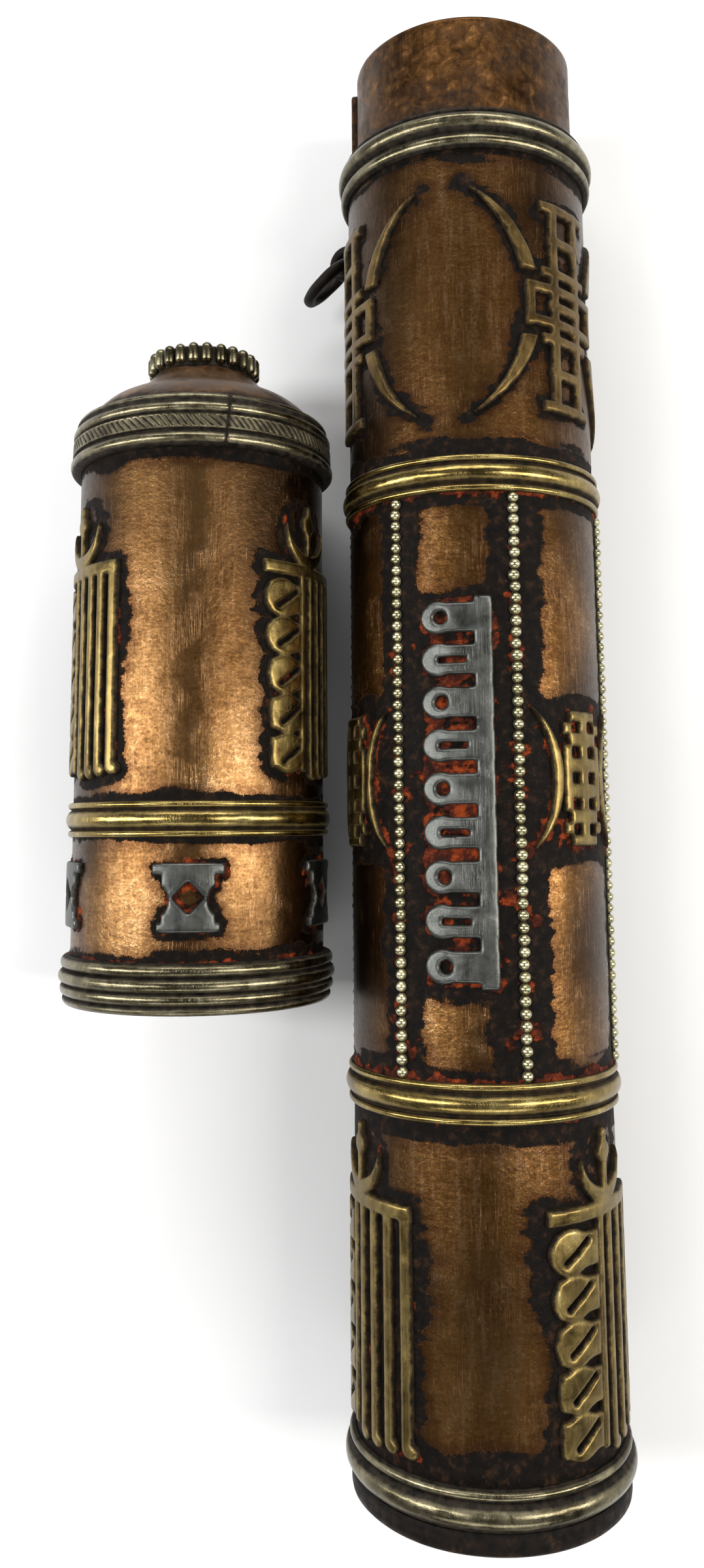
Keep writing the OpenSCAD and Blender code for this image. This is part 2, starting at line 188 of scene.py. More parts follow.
class Shader:
    """Builds one node material. Places are object coordinates, scaled to millimetres."""

    def __init__(self, name):
        self.mat = bpy.data.materials.new(name)
        self.mat.use_nodes = True
        self.tree = self.mat.node_tree
        self.bsdf = self.tree.nodes["Principled BSDF"]
        metres = self.node("TexCoord", "Object", {})
        self.place = self.node("VectorMath", "Vector", {0: metres, "Scale": 1 / MM}, operation="SCALE")

    def node(self, kind, out, inputs, **settings):
        made = self.tree.nodes.new("ShaderNode" + kind)
        for key, value in settings.items():
            setattr(made, key, value)
        for key, value in inputs.items():
            self.put(made.inputs[key], value)
        return Value(self, made.outputs[out])

    def put(self, socket, value):
        if isinstance(value, Value):
            self.tree.links.new(value.socket, socket)
        elif socket.type == "RGBA":
            socket.default_value = (*value, 1.0)
        else:
            socket.default_value = value

    def stretched(self, scale, turn=(0.0, 0.0, 0.0)):
        return self.node("Mapping", "Vector", {"Vector": self.place, "Scale": scale, "Rotation": turn})

    def noise(self, per_mm, detail=3.0, rough=0.55, distortion=0.0, where=None):
        return self.node("TexNoise", "Fac", {"Vector": where or self.place, "Scale": per_mm, "Detail": detail,
                                             "Roughness": rough, "Distortion": distortion})

    def attribute(self, name):
        return self.node("Attribute", "Fac", {}, attribute_name=name)

    def math(self, operation, a, b=0.0):
        return self.node("Math", 0, {0: a, 1: b}, operation=operation)

    def fit(self, value, out_lo, out_hi, in_lo=0.3, in_hi=0.7):
        """Maps a value from one range to another, held at both ends."""
        return self.node("MapRange", 0, {"Value": value, "From Min": in_lo, "From Max": in_hi,
                                         "To Min": out_lo, "To Max": out_hi}, clamp=True)

    def mix(self, fac, a, b):
        return self.node("Mix", 2, {0: fac, 6: a, 7: b}, data_type="RGBA")

    def ramp(self, fac, *stops):
        """Colours by a value: each stop is where it lies and its colour."""
        made = self.node("ValToRGB", "Color", {"Fac": fac})
        line = made.socket.node.color_ramp
        while len(line.elements) < len(stops):
            line.elements.new(0.5)
        for element, (at, colour) in zip(line.elements, stops):
            element.position = at
            element.color = (*colour, 1.0)
        return made

    def finish(self, colour, roughness, height=None, depth_mm=0.0, metallic=0.0, specular=0.5):
        """Sets the surface, with a bump that stands depth_mm high where height is 1."""
        surface = {"Base Color": colour, "Roughness": roughness, "Metallic": metallic,
                   "Specular IOR Level": specular}
        if height is not None:
            bump = {"Height": height, "Distance": depth_mm * MM, "Strength": 1.0}
            surface["Normal"] = self.node("Bump", 0, bump)
        for key, value in surface.items():
            self.put(self.bsdf.inputs[key], value)
        return self.mat


def scratches(mat):
    """Thin hairlines in three directions, in patches: 0.5 on a line, 0 off it."""
    lines = 0.0
    for turn, scale in (((0.0, 0.35, 0.2), (2.2, 0.05, 2.2)), ((0.5, 0.0, 0.7), (1.7, 0.08, 1.7)),
                        ((1.1, 0.2, -0.6), (2.6, 0.07, 2.6))):
        line = mat.noise(1.0, detail=1.0, where=mat.stretched(scale, turn))
        thin = mat.fit(mat.math("ABSOLUTE", line - 0.5), 1.0, 0.0, 0.0, 0.006)
        lines = mat.math("MAXIMUM", thin, lines)
    return lines * mat.fit(mat.noise(0.12, detail=2.0), 0.0, 0.5, 0.42, 0.6)


def tones(*colours, at=(0.28, 0.45, 0.62, 0.78)):
    """A metal's colours from its darkest to its brightest, and where each lies on a noise."""
    return tuple(zip(at, colours))


def aged_metal(name, clean, grime, shine, edge, ragged, blotch=0.08, streak=0.5):
    """Rubbed metal over grime. The cav attribute is low where grime lies and high where it's rubbed off."""
    mat = Shader(name)
    big = mat.noise(blotch, detail=4.0, rough=0.6, distortion=0.6)
    mid = mat.noise(0.55, detail=4.0, rough=0.6)
    fine = mat.noise(3.2, detail=3.0, rough=0.7)
    along = mat.noise(0.9, detail=5.0, rough=0.65, where=mat.stretched((1.0, 0.10, 1.0)))
    level = mat.attribute("cav") + (mid * 0.65 + fine * 0.35 - 0.5) * (ragged * 4)
    rubbed = mat.fit(level, 0.0, 1.0, edge[0] - edge[1], edge[0] + edge[1])
    tone = big * (1.0 - streak) + along * streak
    specks = mat.fit(fine, 0.55, 0.0, 0.30, 0.42)
    lines = scratches(mat)
    metal = mat.mix(specks, mat.ramp(tone, *clean), grime[1])
    metal = mat.mix(lines * 0.5, metal, clean[-1][1])
    dirt = mat.ramp(mid, (0.35, grime[0]), (0.65, grime[1]))
    smooth = mat.fit(tone, shine[0], shine[1], 0.35, 0.65) + specks * 0.25
    roughness = rubbed * smooth + (1.0 - rubbed) * mat.fit(fine, 0.52, 0.77)
    height = fine * 0.05 + rubbed * 0.10 + mid * 0.12 - lines * 0.05
    return mat.finish(mat.mix(rubbed, dirt, metal), roughness, height, 0.35,
                      metallic=mat.fit(rubbed, 0.08, 1.0, 0.0, 1.0), specular=0.10)


def copper_material(name, pale, clean):
    """Bare copper, black pitch and red wax, told apart by the bare and wax attributes of the tubes."""
    mat = Shader(name)
    big = mat.noise(0.045, detail=4.0, rough=0.6, distortion=0.8)
    mid = mat.noise(0.5, detail=5.0, rough=0.65)
    fine = mat.noise(3.0, detail=3.0, rough=0.7)
    grain = mat.noise(1.5, detail=4.0, rough=0.7)
    rubs = mat.noise(0.7, detail=4.0, rough=0.6, where=mat.stretched((0.35, 2.4, 0.35)))
    drips = mat.noise(0.75, detail=4.0, rough=0.6, where=mat.stretched((1.0, 0.10, 1.0)))
    drips = drips * 0.62 + grain * 0.38
    ragged = (mid * 0.6 + fine * 0.4 - 0.5) * 4.5
    edge = mat.attribute("bare") + ragged
    bare = mat.fit(edge, 0.0, 1.0, -0.2, 0.2)
    # Painted shade: the tarnish attribute darkens the copper on the tube's sides, away from its front angle,
    # mixed with random tarnish blotches.
    stain_and_side_shade = mat.attribute("tarnish_and_side_shade") + ragged * 0.22
    wax = mat.fit(mat.attribute("wax") + ragged * 0.18, 0.0, 1.0, -0.05, 0.07)
    tone = big * 0.38 + mid * 0.24 + grain * 0.24 + rubs * 0.14
    specks = mat.fit(fine, 0.65, 0.0, 0.30, 0.40)
    lines = scratches(mat)
    # Over the bare metal: pale and dark streaks, a dark edge, random tarnish with painted shade on the tube's
    # sides, specks and scratches
    metal = mat.ramp(tone, *clean)
    for amount, colour in ((mat.fit(drips, 0.0, 0.27, 0.52, 0.66), pale),
                           (mat.fit(drips, 0.3, 0.0, 0.36, 0.47), (0.020, 0.010, 0.005)),
                           (mat.fit(edge, 0.80, 0.0, 0.1, 2.3), (0.048, 0.019, 0.008)),
                           (mat.fit(stain_and_side_shade, 0.0, 0.85, 0.1, 1.0), (0.022, 0.012, 0.006)),
                           (specks, (0.045, 0.022, 0.012)),
                           (lines * 0.45, (0.62, 0.36, 0.19))):
        metal = mat.mix(amount, metal, colour)
    pitch = mat.ramp(mid, (0.36, (0.0010, 0.0008, 0.0006)), (0.54, (0.0040, 0.0024, 0.0015)),
                     (0.68, (0.022, 0.010, 0.0045)))
    pitch = mat.mix(mat.fit(fine, 0.0, 0.35, 0.62, 0.72), pitch, (0.10, 0.05, 0.025))
    red = mat.ramp(mid, (0.36, (0.010, 0.002, 0.001)), (0.5, (0.045, 0.007, 0.002)),
                   (0.66, (0.20, 0.030, 0.004)))
    red = mat.mix(mat.fit(fine, 0.6, 0.0, 0.34, 0.46), red, (0.02, 0.012, 0.010))
    share = bare * (1.0 - wax)
    smooth = mat.fit(tone, 0.40, 0.22, 0.38, 0.62) + specks * 0.2
    roughness = share * smooth + (1.0 - share) * mat.fit(fine, 0.50, 0.80)
    height = mid * 0.20 + grain * 0.12 + bare * 0.35 + wax * 0.35 - lines * 0.05
    return mat.finish(mat.mix(wax, mat.mix(bare, pitch, metal), red), roughness, height, 0.4,
                      metallic=share, specular=0.07)


def wood_material():
    mat = Shader("turned_wood")
    grain = mat.noise(1.2, detail=5.0, where=mat.stretched((1.0, 0.06, 1.0)))
    rings = mat.noise(0.35, detail=2.0, distortion=1.5, where=mat.stretched((1.0, 0.12, 1.0)))
    colour = mat.ramp(rings, (0.3, (0.06, 0.022, 0.009)), (0.5, (0.15, 0.06, 0.022)),
                      (0.7, (0.26, 0.12, 0.05)))
    colour = mat.mix(mat.fit(grain, 0.0, 0.7), colour, (0.05, 0.02, 0.008))
    return mat.finish(colour, mat.fit(grain, 0.35, 0.6), grain, 0.2)


def paper_material(name, low, high):
    mat = Shader(name)
    fibre = mat.noise(1.6, detail=5.0, rough=0.7, distortion=1.2)
    base = mat.ramp(mat.noise(0.06, detail=4.0), (0.35, low), (0.65, high))
    colour = mat.mix(mat.fit(fibre, 0.5, 0.0, 0.3, 0.55), base, tuple(v * 0.6 for v in low))
    return mat.finish(colour, mat.fit(fibre, 0.75, 0.95), fibre, 0.15)


PATINA = ((0.004, 0.0032, 0.0028), (0.018, 0.011, 0.008))
RIM_GRIME = ((0.0015, 0.0012, 0.001), (0.0075, 0.005, 0.0035))
BRASS_GRIME = ((0.005, 0.0038, 0.002), (0.028, 0.017, 0.007))
WHITE_GRIME = ((0.005, 0.0042, 0.003), (0.026, 0.020, 0.014))
MATERIALS = {
    "copper": copper_material("case_copper", (0.34, 0.215, 0.125), tones(
        (0.022, 0.010, 0.003), (0.074, 0.033, 0.009), (0.150, 0.074, 0.023), (0.36, 0.21, 0.105),
        at=(0.34, 0.46, 0.55, 0.66))),
    "cap_copper": copper_material("cap_copper", (0.34, 0.20, 0.105), tones(
        (0.032, 0.016, 0.005), (0.102, 0.049, 0.016), (0.175, 0.092, 0.034), (0.29, 0.185, 0.095),
        at=(0.34, 0.45, 0.55, 0.66))),
    "dome": aged_metal("dome_copper", tones(
        (0.024, 0.011, 0.004), (0.066, 0.031, 0.011), (0.120, 0.060, 0.022), (0.24, 0.14, 0.065),
        at=(0.30, 0.45, 0.58, 0.72)), PATINA, (0.30, 0.44), (0.38, 0.3), 0.35, 0.10, 0.2),
    "neck": aged_metal("neck_copper", tones(
        (0.020, 0.009, 0.003), (0.052, 0.023, 0.007), (0.100, 0.046, 0.014), (0.24, 0.115, 0.042),
        at=(0.32, 0.46, 0.58, 0.70)), PATINA, (0.34, 0.48), (0.30, 0.35), 0.35, 0.42, 0.25),
    "rim": aged_metal("blackened_rim", tones(
        (0.006, 0.004, 0.003), (0.018, 0.011, 0.007), (0.050, 0.026, 0.014), (0.16, 0.09, 0.05),
        at=(0.34, 0.50, 0.62, 0.74)), RIM_GRIME, (0.34, 0.50), (0.42, 0.3), 0.6, 0.4, 0.2),
    "brass": aged_metal("cast_brass", tones(
        (0.060, 0.038, 0.012), (0.130, 0.090, 0.030), (0.225, 0.165, 0.058), (0.44, 0.36, 0.17)),
        BRASS_GRIME, (0.26, 0.40), (0.46, 0.22), 0.30, 0.22, 0.3),
    "dull_brass": aged_metal("worn_brass", tones(
        (0.048, 0.028, 0.010), (0.100, 0.062, 0.021), (0.175, 0.118, 0.043), (0.42, 0.33, 0.15)),
        BRASS_GRIME, (0.30, 0.44), (0.50, 0.25), 0.45, 0.14, 0.3),
    "brass_ring": aged_metal("rolled_brass", tones(
        (0.095, 0.062, 0.018), (0.19, 0.135, 0.043), (0.31, 0.235, 0.085), (0.50, 0.41, 0.19)),
        BRASS_GRIME, (0.18, 0.30), (0.48, 0.26), 0.16, 0.16, 0.2),
    "white": aged_metal("white_metal", tones(
        (0.045, 0.037, 0.021), (0.100, 0.086, 0.050), (0.205, 0.180, 0.112), (0.42, 0.38, 0.26)),
        WHITE_GRIME, (0.20, 0.32), (0.50, 0.26), 0.18, 0.18, 0.2),
    "pale_brass": aged_metal("pale_brass", tones(
        (0.20, 0.175, 0.095), (0.34, 0.31, 0.18), (0.50, 0.46, 0.29), (0.72, 0.68, 0.48)),
        WHITE_GRIME, (0.24, 0.34), (0.42, 0.26), 0.12, 0.18, 0.2),
    "silver": aged_metal("grey_silver", tones(
        (0.034, 0.035, 0.031), (0.068, 0.070, 0.064), (0.110, 0.113, 0.105), (0.27, 0.275, 0.26)),
        WHITE_GRIME, (0.34, 0.46), (0.26, 0.2), 0.16, 0.25, 0.3),
    "iron": aged_metal("black_iron", tones(
        (0.010, 0.009, 0.008), (0.022, 0.019, 0.016), (0.06, 0.052, 0.045), at=(0.3, 0.6, 0.8)),
        PATINA, (0.42, 0.58), (0.3, 0.5), 0.3),
    "wood": wood_material(),
    "paper": paper_material("rolled_paper", (0.32, 0.22, 0.11), (0.48, 0.37, 0.22)),
    "band": paper_material("red_paper", (0.30, 0.035, 0.02), (0.42, 0.07, 0.04)),
}


# ---------------------------------------------------------------- meshes
# A body of the record, with the axis it's built round, as x and z, and its wall's radius, in millimetres
Tube = namedtuple("Tube", "body axis r")
CASE = Tube("case", CASE_AXIS, TUBE_R)
CAP = Tube("cap", CAP_AXIS, CAP_R)
SCROLL = Tube("scroll", CASE_AXIS, TUBE_R)


def polar(r, degrees, y, axis=CASE_AXIS):
    """A point at a radius and angle round an axis, in metres."""
    a = np.radians(degrees)
    return np.stack([(axis[0] + r * np.sin(a)) * MM, y * MM + 0 * a, (axis[1] + r * np.cos(a)) * MM], -1)


def add_piece(name, node, points, faces, body, look, values, sharp):
    """A piece that stands for one node, with its material, and with values for its points."""
    mesh = bpy.data.meshes.new(name)
    mesh.from_pydata([tuple(p) for p in points], [], faces)
    for key, data in values.items():
        layer = mesh.attributes.new(key, "FLOAT", "POINT")
        layer.data.foreach_set("value", np.asarray(data, dtype=np.float32))
    mesh.validate()
    bm = bmesh.new()
    bm.from_mesh(mesh)
    bmesh.ops.remove_doubles(bm, verts=bm.verts, dist=1e-7)
    bmesh.ops.recalc_face_normals(bm, faces=bm.faces)
    bm.to_mesh(mesh)
    bm.free()
    mesh.shade_smooth()
    mesh.set_sharp_from_angle(angle=math.radians(sharp))
    mesh.materials.append(MATERIALS[look])
    piece = bpy.data.objects.new(name, mesh)
    bpy.context.collection.objects.link(piece)
    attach(piece, body)
    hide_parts(node)


class Heap:
    """Closed meshes gathered into one piece, each with its cav values."""

    def __init__(self):
        self.points, self.faces, self.cav, self.count = [], [], [], 0

    def add(self, points, faces, cav):
        self.faces += [[v + self.count for v in face] for face in faces]
        self.points.append(points)
        self.cav.append(np.broadcast_to(cav, len(points)))
        self.count += len(points)

    def make(self, name, node, body, look, sharp=60.0):
        values = {"cav": np.concatenate(self.cav)}
        add_piece(name, node, np.concatenate(self.points), self.faces, body, look, values, sharp)


def grid_faces(rows, cols, wrap_rows=False, wrap_cols=True):
    """Quads over a rows x cols grid of points, joined round where asked."""
    i = np.arange(rows if wrap_rows else rows - 1)
    j = np.arange(cols if wrap_cols else cols - 1)
    ii, jj = np.meshgrid(i, j, indexing="ij")
    i2, j2 = (ii + 1) % rows, (jj + 1) % cols
    quads = np.stack([ii * cols + jj, ii * cols + j2, i2 * cols + j2, i2 * cols + jj], -1)
    return quads.reshape(-1, 4).tolist()


def dents(a, y, size=0.12, seed=0):
    """Slow unevenness of hand-worked metal, in millimetres, seamless round the axis."""
    rng = np.random.default_rng(100 + seed)
    out = np.zeros(np.broadcast(a, y).shape)
    for turns in (2, 3, 5, 7, 9):
        phase, phase2 = rng.uniform(0, 6.28, 2)
        out += np.sin(np.radians(a) * turns + phase + y * rng.uniform(0.02, 0.12)) * \
            np.sin(y * rng.uniform(0.03, 0.16) + phase2) / math.sqrt(turns)
    return out * size / 2


def cloud(r, a, y, per_mm, seed=0):
    """Smooth random values from 0 to 1 over points round an axis, without a seam."""
    a = np.radians(a)
    spot = np.stack(np.broadcast_arrays(r * np.sin(a), y, r * np.cos(a)), -1) * per_mm
    low = np.floor(spot)
    t = spot - low
    t = t * t * (3 - 2 * t)
    out = 0.0
    for i, j, k in np.ndindex(2, 2, 2):
        c = low + (i, j, k)
        value = np.sin(c[..., 0] * 127.1 + c[..., 1] * 311.7 + c[..., 2] * 74.7 + seed * 19.3) * 43758.5
        weight = (np.abs(1 - i - t[..., 0]) * np.abs(1 - j - t[..., 1]) * np.abs(1 - k - t[..., 2]))
        out = out + (value - np.floor(value)) * weight
    return out


def lathe(name, node, rows, tube, look, turns=192, carve=None, seed=0, uneven=0.05, sharp=50.0, y0=None):
    """A closed turned body that stands for a node: rows of radius, height above y0 and cav."""
    rows = np.array(rows, float)
    a = np.arange(turns) * 360.0 / turns
    r, y, cav = (rows[:, k:k + 1] + 0 * a[None, :] for k in range(3))
    dent = dents(a[None, :], y, uneven, seed)
    if carve is not None:
        r, y, cav = carve(a[None, :], r, y, cav)
    r = np.where(r > 0.01, np.minimum(r + dent, np.maximum(r, rows[:, 0].max())), 0.0)
    start = span(node)[0] if y0 is None else y0
    points = polar(r, np.broadcast_to(a, r.shape), y + start, tube.axis).reshape(-1, 3)
    add_piece(name, node, points, grid_faces(len(rows), turns, wrap_rows=True), tube.body, look,
              {"cav": cav.reshape(-1)}, sharp)


def mottled(*layers, inner_r=0.0):
    """A carve by noises of (per mm, seed, change of cav, depth in mm), which digs only outside inner_r."""
    def carve(a, r, y, cav):
        dug = r
        for per_mm, seed, change, depth in layers:
            spots = cloud(r, a, y, per_mm, seed)
            dug = dug - depth * spots * (r > inner_r)
            cav = cav + change * (spots - 0.5)
        return dug, y, cav
    return carve


def dense(rows, step):
    """More points along a closed outline of (radius, height, cav)."""
    out = []
    for start, end in zip(rows, rows[1:] + rows[:1]):
        count = max(1, int(math.hypot(end[0] - start[0], end[1] - start[1]) / step))
        out += [tuple(v + (w - v) * k / count for v, w in zip(start, end)) for k in range(count)]
    return out


def slab(outer, inner):
    """Points and faces of a closed sheet between two grids of points."""
    rows, cols = outer.shape[:2]
    points = np.concatenate([outer.reshape(-1, 3), inner.reshape(-1, 3)])
    count = rows * cols
    front = grid_faces(rows, cols, wrap_cols=False)
    faces = front + [[count + v for v in reversed(face)] for face in front]
    rim = ([(0, j) for j in range(cols)] + [(i, cols - 1) for i in range(1, rows)] +
           [(rows - 1, j) for j in range(cols - 2, -1, -1)] + [(i, 0) for i in range(rows - 2, 0, -1)])
    keys = [i * cols + j for i, j in rim]
    for v, w in zip(keys, keys[1:] + keys[:1]):
        faces.append([v, w, count + w, count + v])
    return points, faces


def raise_bead(s, r, at, half, top):
    """A line of radii r over heights s, with a half-round bead up to a radius of top."""
    arc = top - half + np.sqrt(np.maximum(half ** 2 - (s - at) ** 2, 0))
    return np.where(np.abs(s - at) < half, np.maximum(r, arc), r)


def bead_outline(width, r_in, band, beads, steps=90):
    """Outer line of a beaded ring, with a cav value that is low in its grooves."""
    s = np.linspace(0, width, steps)
    r = np.full(steps, r_in + band)
    for at, half, proud in beads:
        r = raise_bead(s, r, at, half, r_in + proud)
    return s, r, groove_depth(s, r)


def groove_depth(s, r, reach=1.3, depth=0.75):
    """1 on the tops of a line of radii and down to 0 in its grooves."""
    local_top = np.array([r[np.abs(s - v) < reach].max() for v in s])
    return 1.0 - np.clip((local_top - r) / depth, 0, 1)


# ---------------------------------------------------------------- ornament outlines
# Each takes x to the right and y up, in millimetres, and gives the distance to its edge: below 0 inside.
def bar(x, y, cx, cy, w, h, soft=0.25):
    dx = np.abs(x - cx) - w / 2 + soft
    dy = np.abs(y - cy) - h / 2 + soft
    return np.hypot(np.maximum(dx, 0), np.maximum(dy, 0)) + np.minimum(np.maximum(dx, dy), 0) - soft


def disc(x, y, cx, cy, r):
    return np.hypot(x - cx, y - cy) - r


def pill(x, y, cx, y0, y1, w):
    return np.hypot(x - cx, y - np.clip(y, y0, y1)) - w / 2


def join(parts, blend=0.35):
    """The parts together, with small fillets where they meet."""
    out = parts[0]
    for part in parts[1:]:
        h = np.clip(0.5 + 0.5 * (out - part) / blend, 0, 1)
        out = out * (1 - h) + part * h - blend * h * (1 - h)
    return out


def arc_radius(half, sag):
    return (half * half + sag * sag) / (2 * sag)


def crescent(x, y, half, sag_in, sag_out, side=1):
    """Tips at (0, +-half), bulging to the right (side 1) or left (-1)."""
    r_out, r_in = arc_radius(half, sag_out), arc_radius(half, sag_in)
    outer = disc(side * x, y, sag_out - r_out, 0, r_out)
    inner = disc(side * x, y, sag_in - r_in, 0, r_in)
    beyond = np.abs(y) > half - 0.5
    return np.where(beyond, np.maximum(np.maximum(outer, -inner), np.hypot(x, np.abs(y) - half) - 0.4),
                    np.maximum(outer, -inner))


def fret(x, y, w, h, rungs, t):
    parts = [bar(x, y, cx, 0, t, h) for cx in (-w / 4, w / 4)]
    for i in range(rungs):
        wide = w if i % 2 == 0 else w * 0.72
        parts.append(bar(x, y, 0, -h / 2 + t / 2 + i * (h - t) / (rungs - 1), wide, t))
    return join(parts)


def winged_fret(x, y, w, h, rungs, t, wing):
    parts = [fret(x, y, w, h, rungs, t)]
    parts += [bar(x, y, 0, cy, wing, t) for cy in (-3.4, 3.4)]
    parts += [bar(x, y, side * (wing / 2 - 1), 0, 2, 6.8 + t) for side in (-1, 1)]
    return join(parts)


def comb_strip(x, y, w, h, units):
    unit = h / units
    tooth_r = unit * 0.39
    parts, holes = [bar(x, y, w / 2 - 1.6, 0, 3.2, h)], []
    for i in range(units):
        cx, cy = -w / 2 + tooth_r, -h / 2 + (i + 0.5) * unit
        parts.append(bar(x, y, (cx + w / 2) / 2, cy, w / 2 - cx, 2 * tooth_r - 0.6))
        parts.append(disc(x, y, cx, cy, tooth_r))
        holes.append(disc(x, y, cx + 0.6, cy, 1.2) if i % 2 == 0 else bar(x, y, cx + 2.6, cy, 5.2, 1.1))
    return np.maximum(join(parts, 0.4), -np.minimum.reduce(holes))


def pendant(x, y, w, h):
    yoke, foot, t = h * 0.235, -h / 2, 2.1
    parts = [bar(x, y, 0, yoke, w, 2.8), pill(x, y, 0, yoke, h / 2 - 2.2, 1.7)]
    parts.append(disc(x, y, 0, h / 2 - 5.4, 2.0))
    horns = np.maximum(disc(x, y, 0, yoke + 7.2, 6.6), -disc(x, y, 0, yoke + 9.8, 6.2))
    parts.append(np.maximum(horns, y - (yoke + 13)))
    gap = (w / 2 - t) / 3
    for i in range(4):
        cx = t / 2 + i * gap
        parts.append(pill(x, y, cx, foot + 2 + i * 0.3, yoke, t))
        parts.append(disc(x, y, cx + 0.7, foot + 1.8 + i * 0.3, 1.3))
    parts.append(bar(x, y, -t * 0.9, (yoke + foot) / 2 + 1, t * 0.9, yoke - foot - 2))
    lobe = (yoke - foot - 4) / 10
    tilt_c, tilt_s = math.cos(math.radians(35)), math.sin(math.radians(35))
    for i in range(5):
        cx, cy = -w / 2 + lobe + 0.4 + i * 0.35, yoke - 2.2 - lobe * (2 * i + 1)
        leaf = join([bar(x, y, -w / 4 - 0.6, cy, w / 2 - lobe - 0.6, lobe * 1.6),
                     disc(x, y, cx, cy, lobe * 1.06)], 0.8)
        u, v = x - cx - 1.2, y - cy
        slit = bar(u * tilt_c + v * tilt_s, v * tilt_c - u * tilt_s, 0, 0, lobe * 1.7, 0.8)
        parts.append(np.maximum(leaf, -slit))
    return join(parts, 0.4)


def pierced_plate(x, y, w, h):
    x, cuts = np.abs(x), []
    for i in range(-2, 3):
        cuts.append(bar(x, y, w * 0.21, i * h * 0.19, 2.1, 1.9))
    for i in (-1, 1):
        cuts.append(bar(x, y, w / 2, i * h * 0.285, 2.8, 1.7))
        cuts.append(bar(x, y, w / 2, i * h * 0.5, 3.4, 4.4))
    return np.maximum(bar(x, y, 0, 0, w, h), -np.minimum.reduce(cuts))


def lozenge_plate(x, y, w, h):
    plate = join([bar(x, y, 0, h / 2 - 1, w, 2), bar(x, y, 0, 0, w * 0.74, h),
                  bar(x, y, 0, -h / 2 + 0.9, w * 0.88, 1.8)], 0.4)
    u, v = (x + y) / math.sqrt(2), (x - y) / math.sqrt(2)
    cuts = [bar(u, v, 0, 0, h * 0.34, h * 0.34)]
    cuts += [disc(x, y, side * w * 0.5, -h * 0.04, h * 0.24) for side in (-1, 1)]
    return np.maximum(plate, -np.minimum.reduce(cuts))


class Patch:
    """One ornament: where its middle is, how far it reaches, and its outline."""

    def __init__(self, angle, y, half_w, half_h, shape):
        self.angle, self.y, self.half_w, self.half_h, self.shape = angle, y, half_w, half_h, shape

    def distance(self, r, a, y):
        """Distance from points on the wall to the outline, far away where the patch can't reach."""
        off = (a - self.angle + 180.0) % 360.0 - 180.0
        near = (np.abs(off) < 80) & (np.abs(y - self.y) < self.half_h + 8)
        out = np.full(np.broadcast(off, y).shape, 99.0)
        x, v = np.broadcast_arrays(r * np.sin(np.radians(off)), y - self.y)
        near = np.broadcast_to(near, out.shape)
        out[near] = self.shape(x[near], v[near])
        return out


def thirds(start, y, half_w, half_h, shape):
    """One ornament in each third of the way round."""
    return [Patch(start + i * 120.0, y, half_w, half_h, shape) for i in range(3)]


def pairs(start, spread, make):
    """Two of something, side by side, in each third of the way round."""
    return [make(start + i * 120 + side * spread, side) for i in range(3) for side in (-1, 1)]


LUG_Y = middle("lug_plate")
LUG_R = (span("lug_plate")[1] - span("lug_plate")[0]) / 2
UPPER_Y = middle("upper_crescents")
PANEL_Y = middle("panel_crescents")
PLAQUE_Y = middle("panel_plaques")
FOOT_Y = (span("base_ring")[1] + span("lower_brass_ring")[0]) / 2
PENDANT_H = 56.5
CAP_PENDANT_Y = CAP_Y + 70.3
BAND_Y = middle("cap_band_plaques")
WIRE_ANGLES = pairs(WINDOW_A, PLAQUE_PANEL_A / 2, lambda angle, side: angle)


def upper_horn(angle, side):
    """Two horns on one side of an upper window, with a gap at their middle, cut back round the lug."""
    def shape(x, y):
        d = crescent(x + side * 7, y, 23.5, 11.5, 15, side)
        d = np.maximum(d, -bar(x, y, 0, 0, 60, 13))
        lug_x = TUBE_R * math.sin(math.radians(LUG_A - angle))
        if abs((LUG_A - angle + 180) % 360 - 180) < 60:
            d = np.maximum(d, -disc(x, y, lug_x, LUG_Y - UPPER_Y, LUG_R + 0.4))
        return d
    return Patch(angle, UPPER_Y, 9.5, 24.5, shape)


def panel_horn(angle, side):
    def shape(x, y):
        return crescent(x - side * 3.2, y, 13.5, 5, 7.3, -side)
    return Patch(angle, PANEL_Y, 5.5, 14.5, shape)


ORNAMENTS = {
    "upper_crescents": pairs(UPPER_WINDOW_A, 26, upper_horn),
    "upper_frets": thirds(UPPER_WINDOW_A + 60, UPPER_Y, 10.5, 22.5,
                          lambda x, y: winged_fret(x, y, 13, 43, 7, 2.3, 19.6)),
    "panel_plaques": thirds(WINDOW_A + 1, PLAQUE_Y, 7.5, 36.5, lambda x, y: comb_strip(x, y, 13, 71, 9)),
    "panel_crescents": pairs(WINDOW_A + 60, 22, panel_horn),
    "panel_frets": thirds(WINDOW_A + 60, PANEL_Y, 6, 13.5, lambda x, y: pierced_plate(x, y, 11, 25)),
    "foot_pendants": thirds(FOOT_WINDOW_A + 60, FOOT_Y, 15, 29, lambda x, y: pendant(x, y, 26.5, PENDANT_H)),
    "cap_pendants": thirds(CAP_WINDOW_A + 60, CAP_PENDANT_Y, 13.5, 29,
                           lambda x, y: pendant(x, y, 23.0, PENDANT_H)),
    "cap_band_plaques": [Patch(BAND_A + i * 360 / BAND_COUNT, BAND_Y, 7.5, 7.2,
                               lambda x, y: lozenge_plate(x, y, 13, 12.4)) for i in range(BAND_COUNT)],
}


# ---------------------------------------------------------------- raised ornament meshes
def cell_polygon(values, corners, edges):
    """The part of one grid cell that is inside, as vertex keys."""
    out = []
    for k in range(4):
        if values[k] < 0:
            out.append(corners[k])
        if (values[k] < 0) != (values[(k + 1) % 4] < 0):
            out.append(edges[k])
    return out


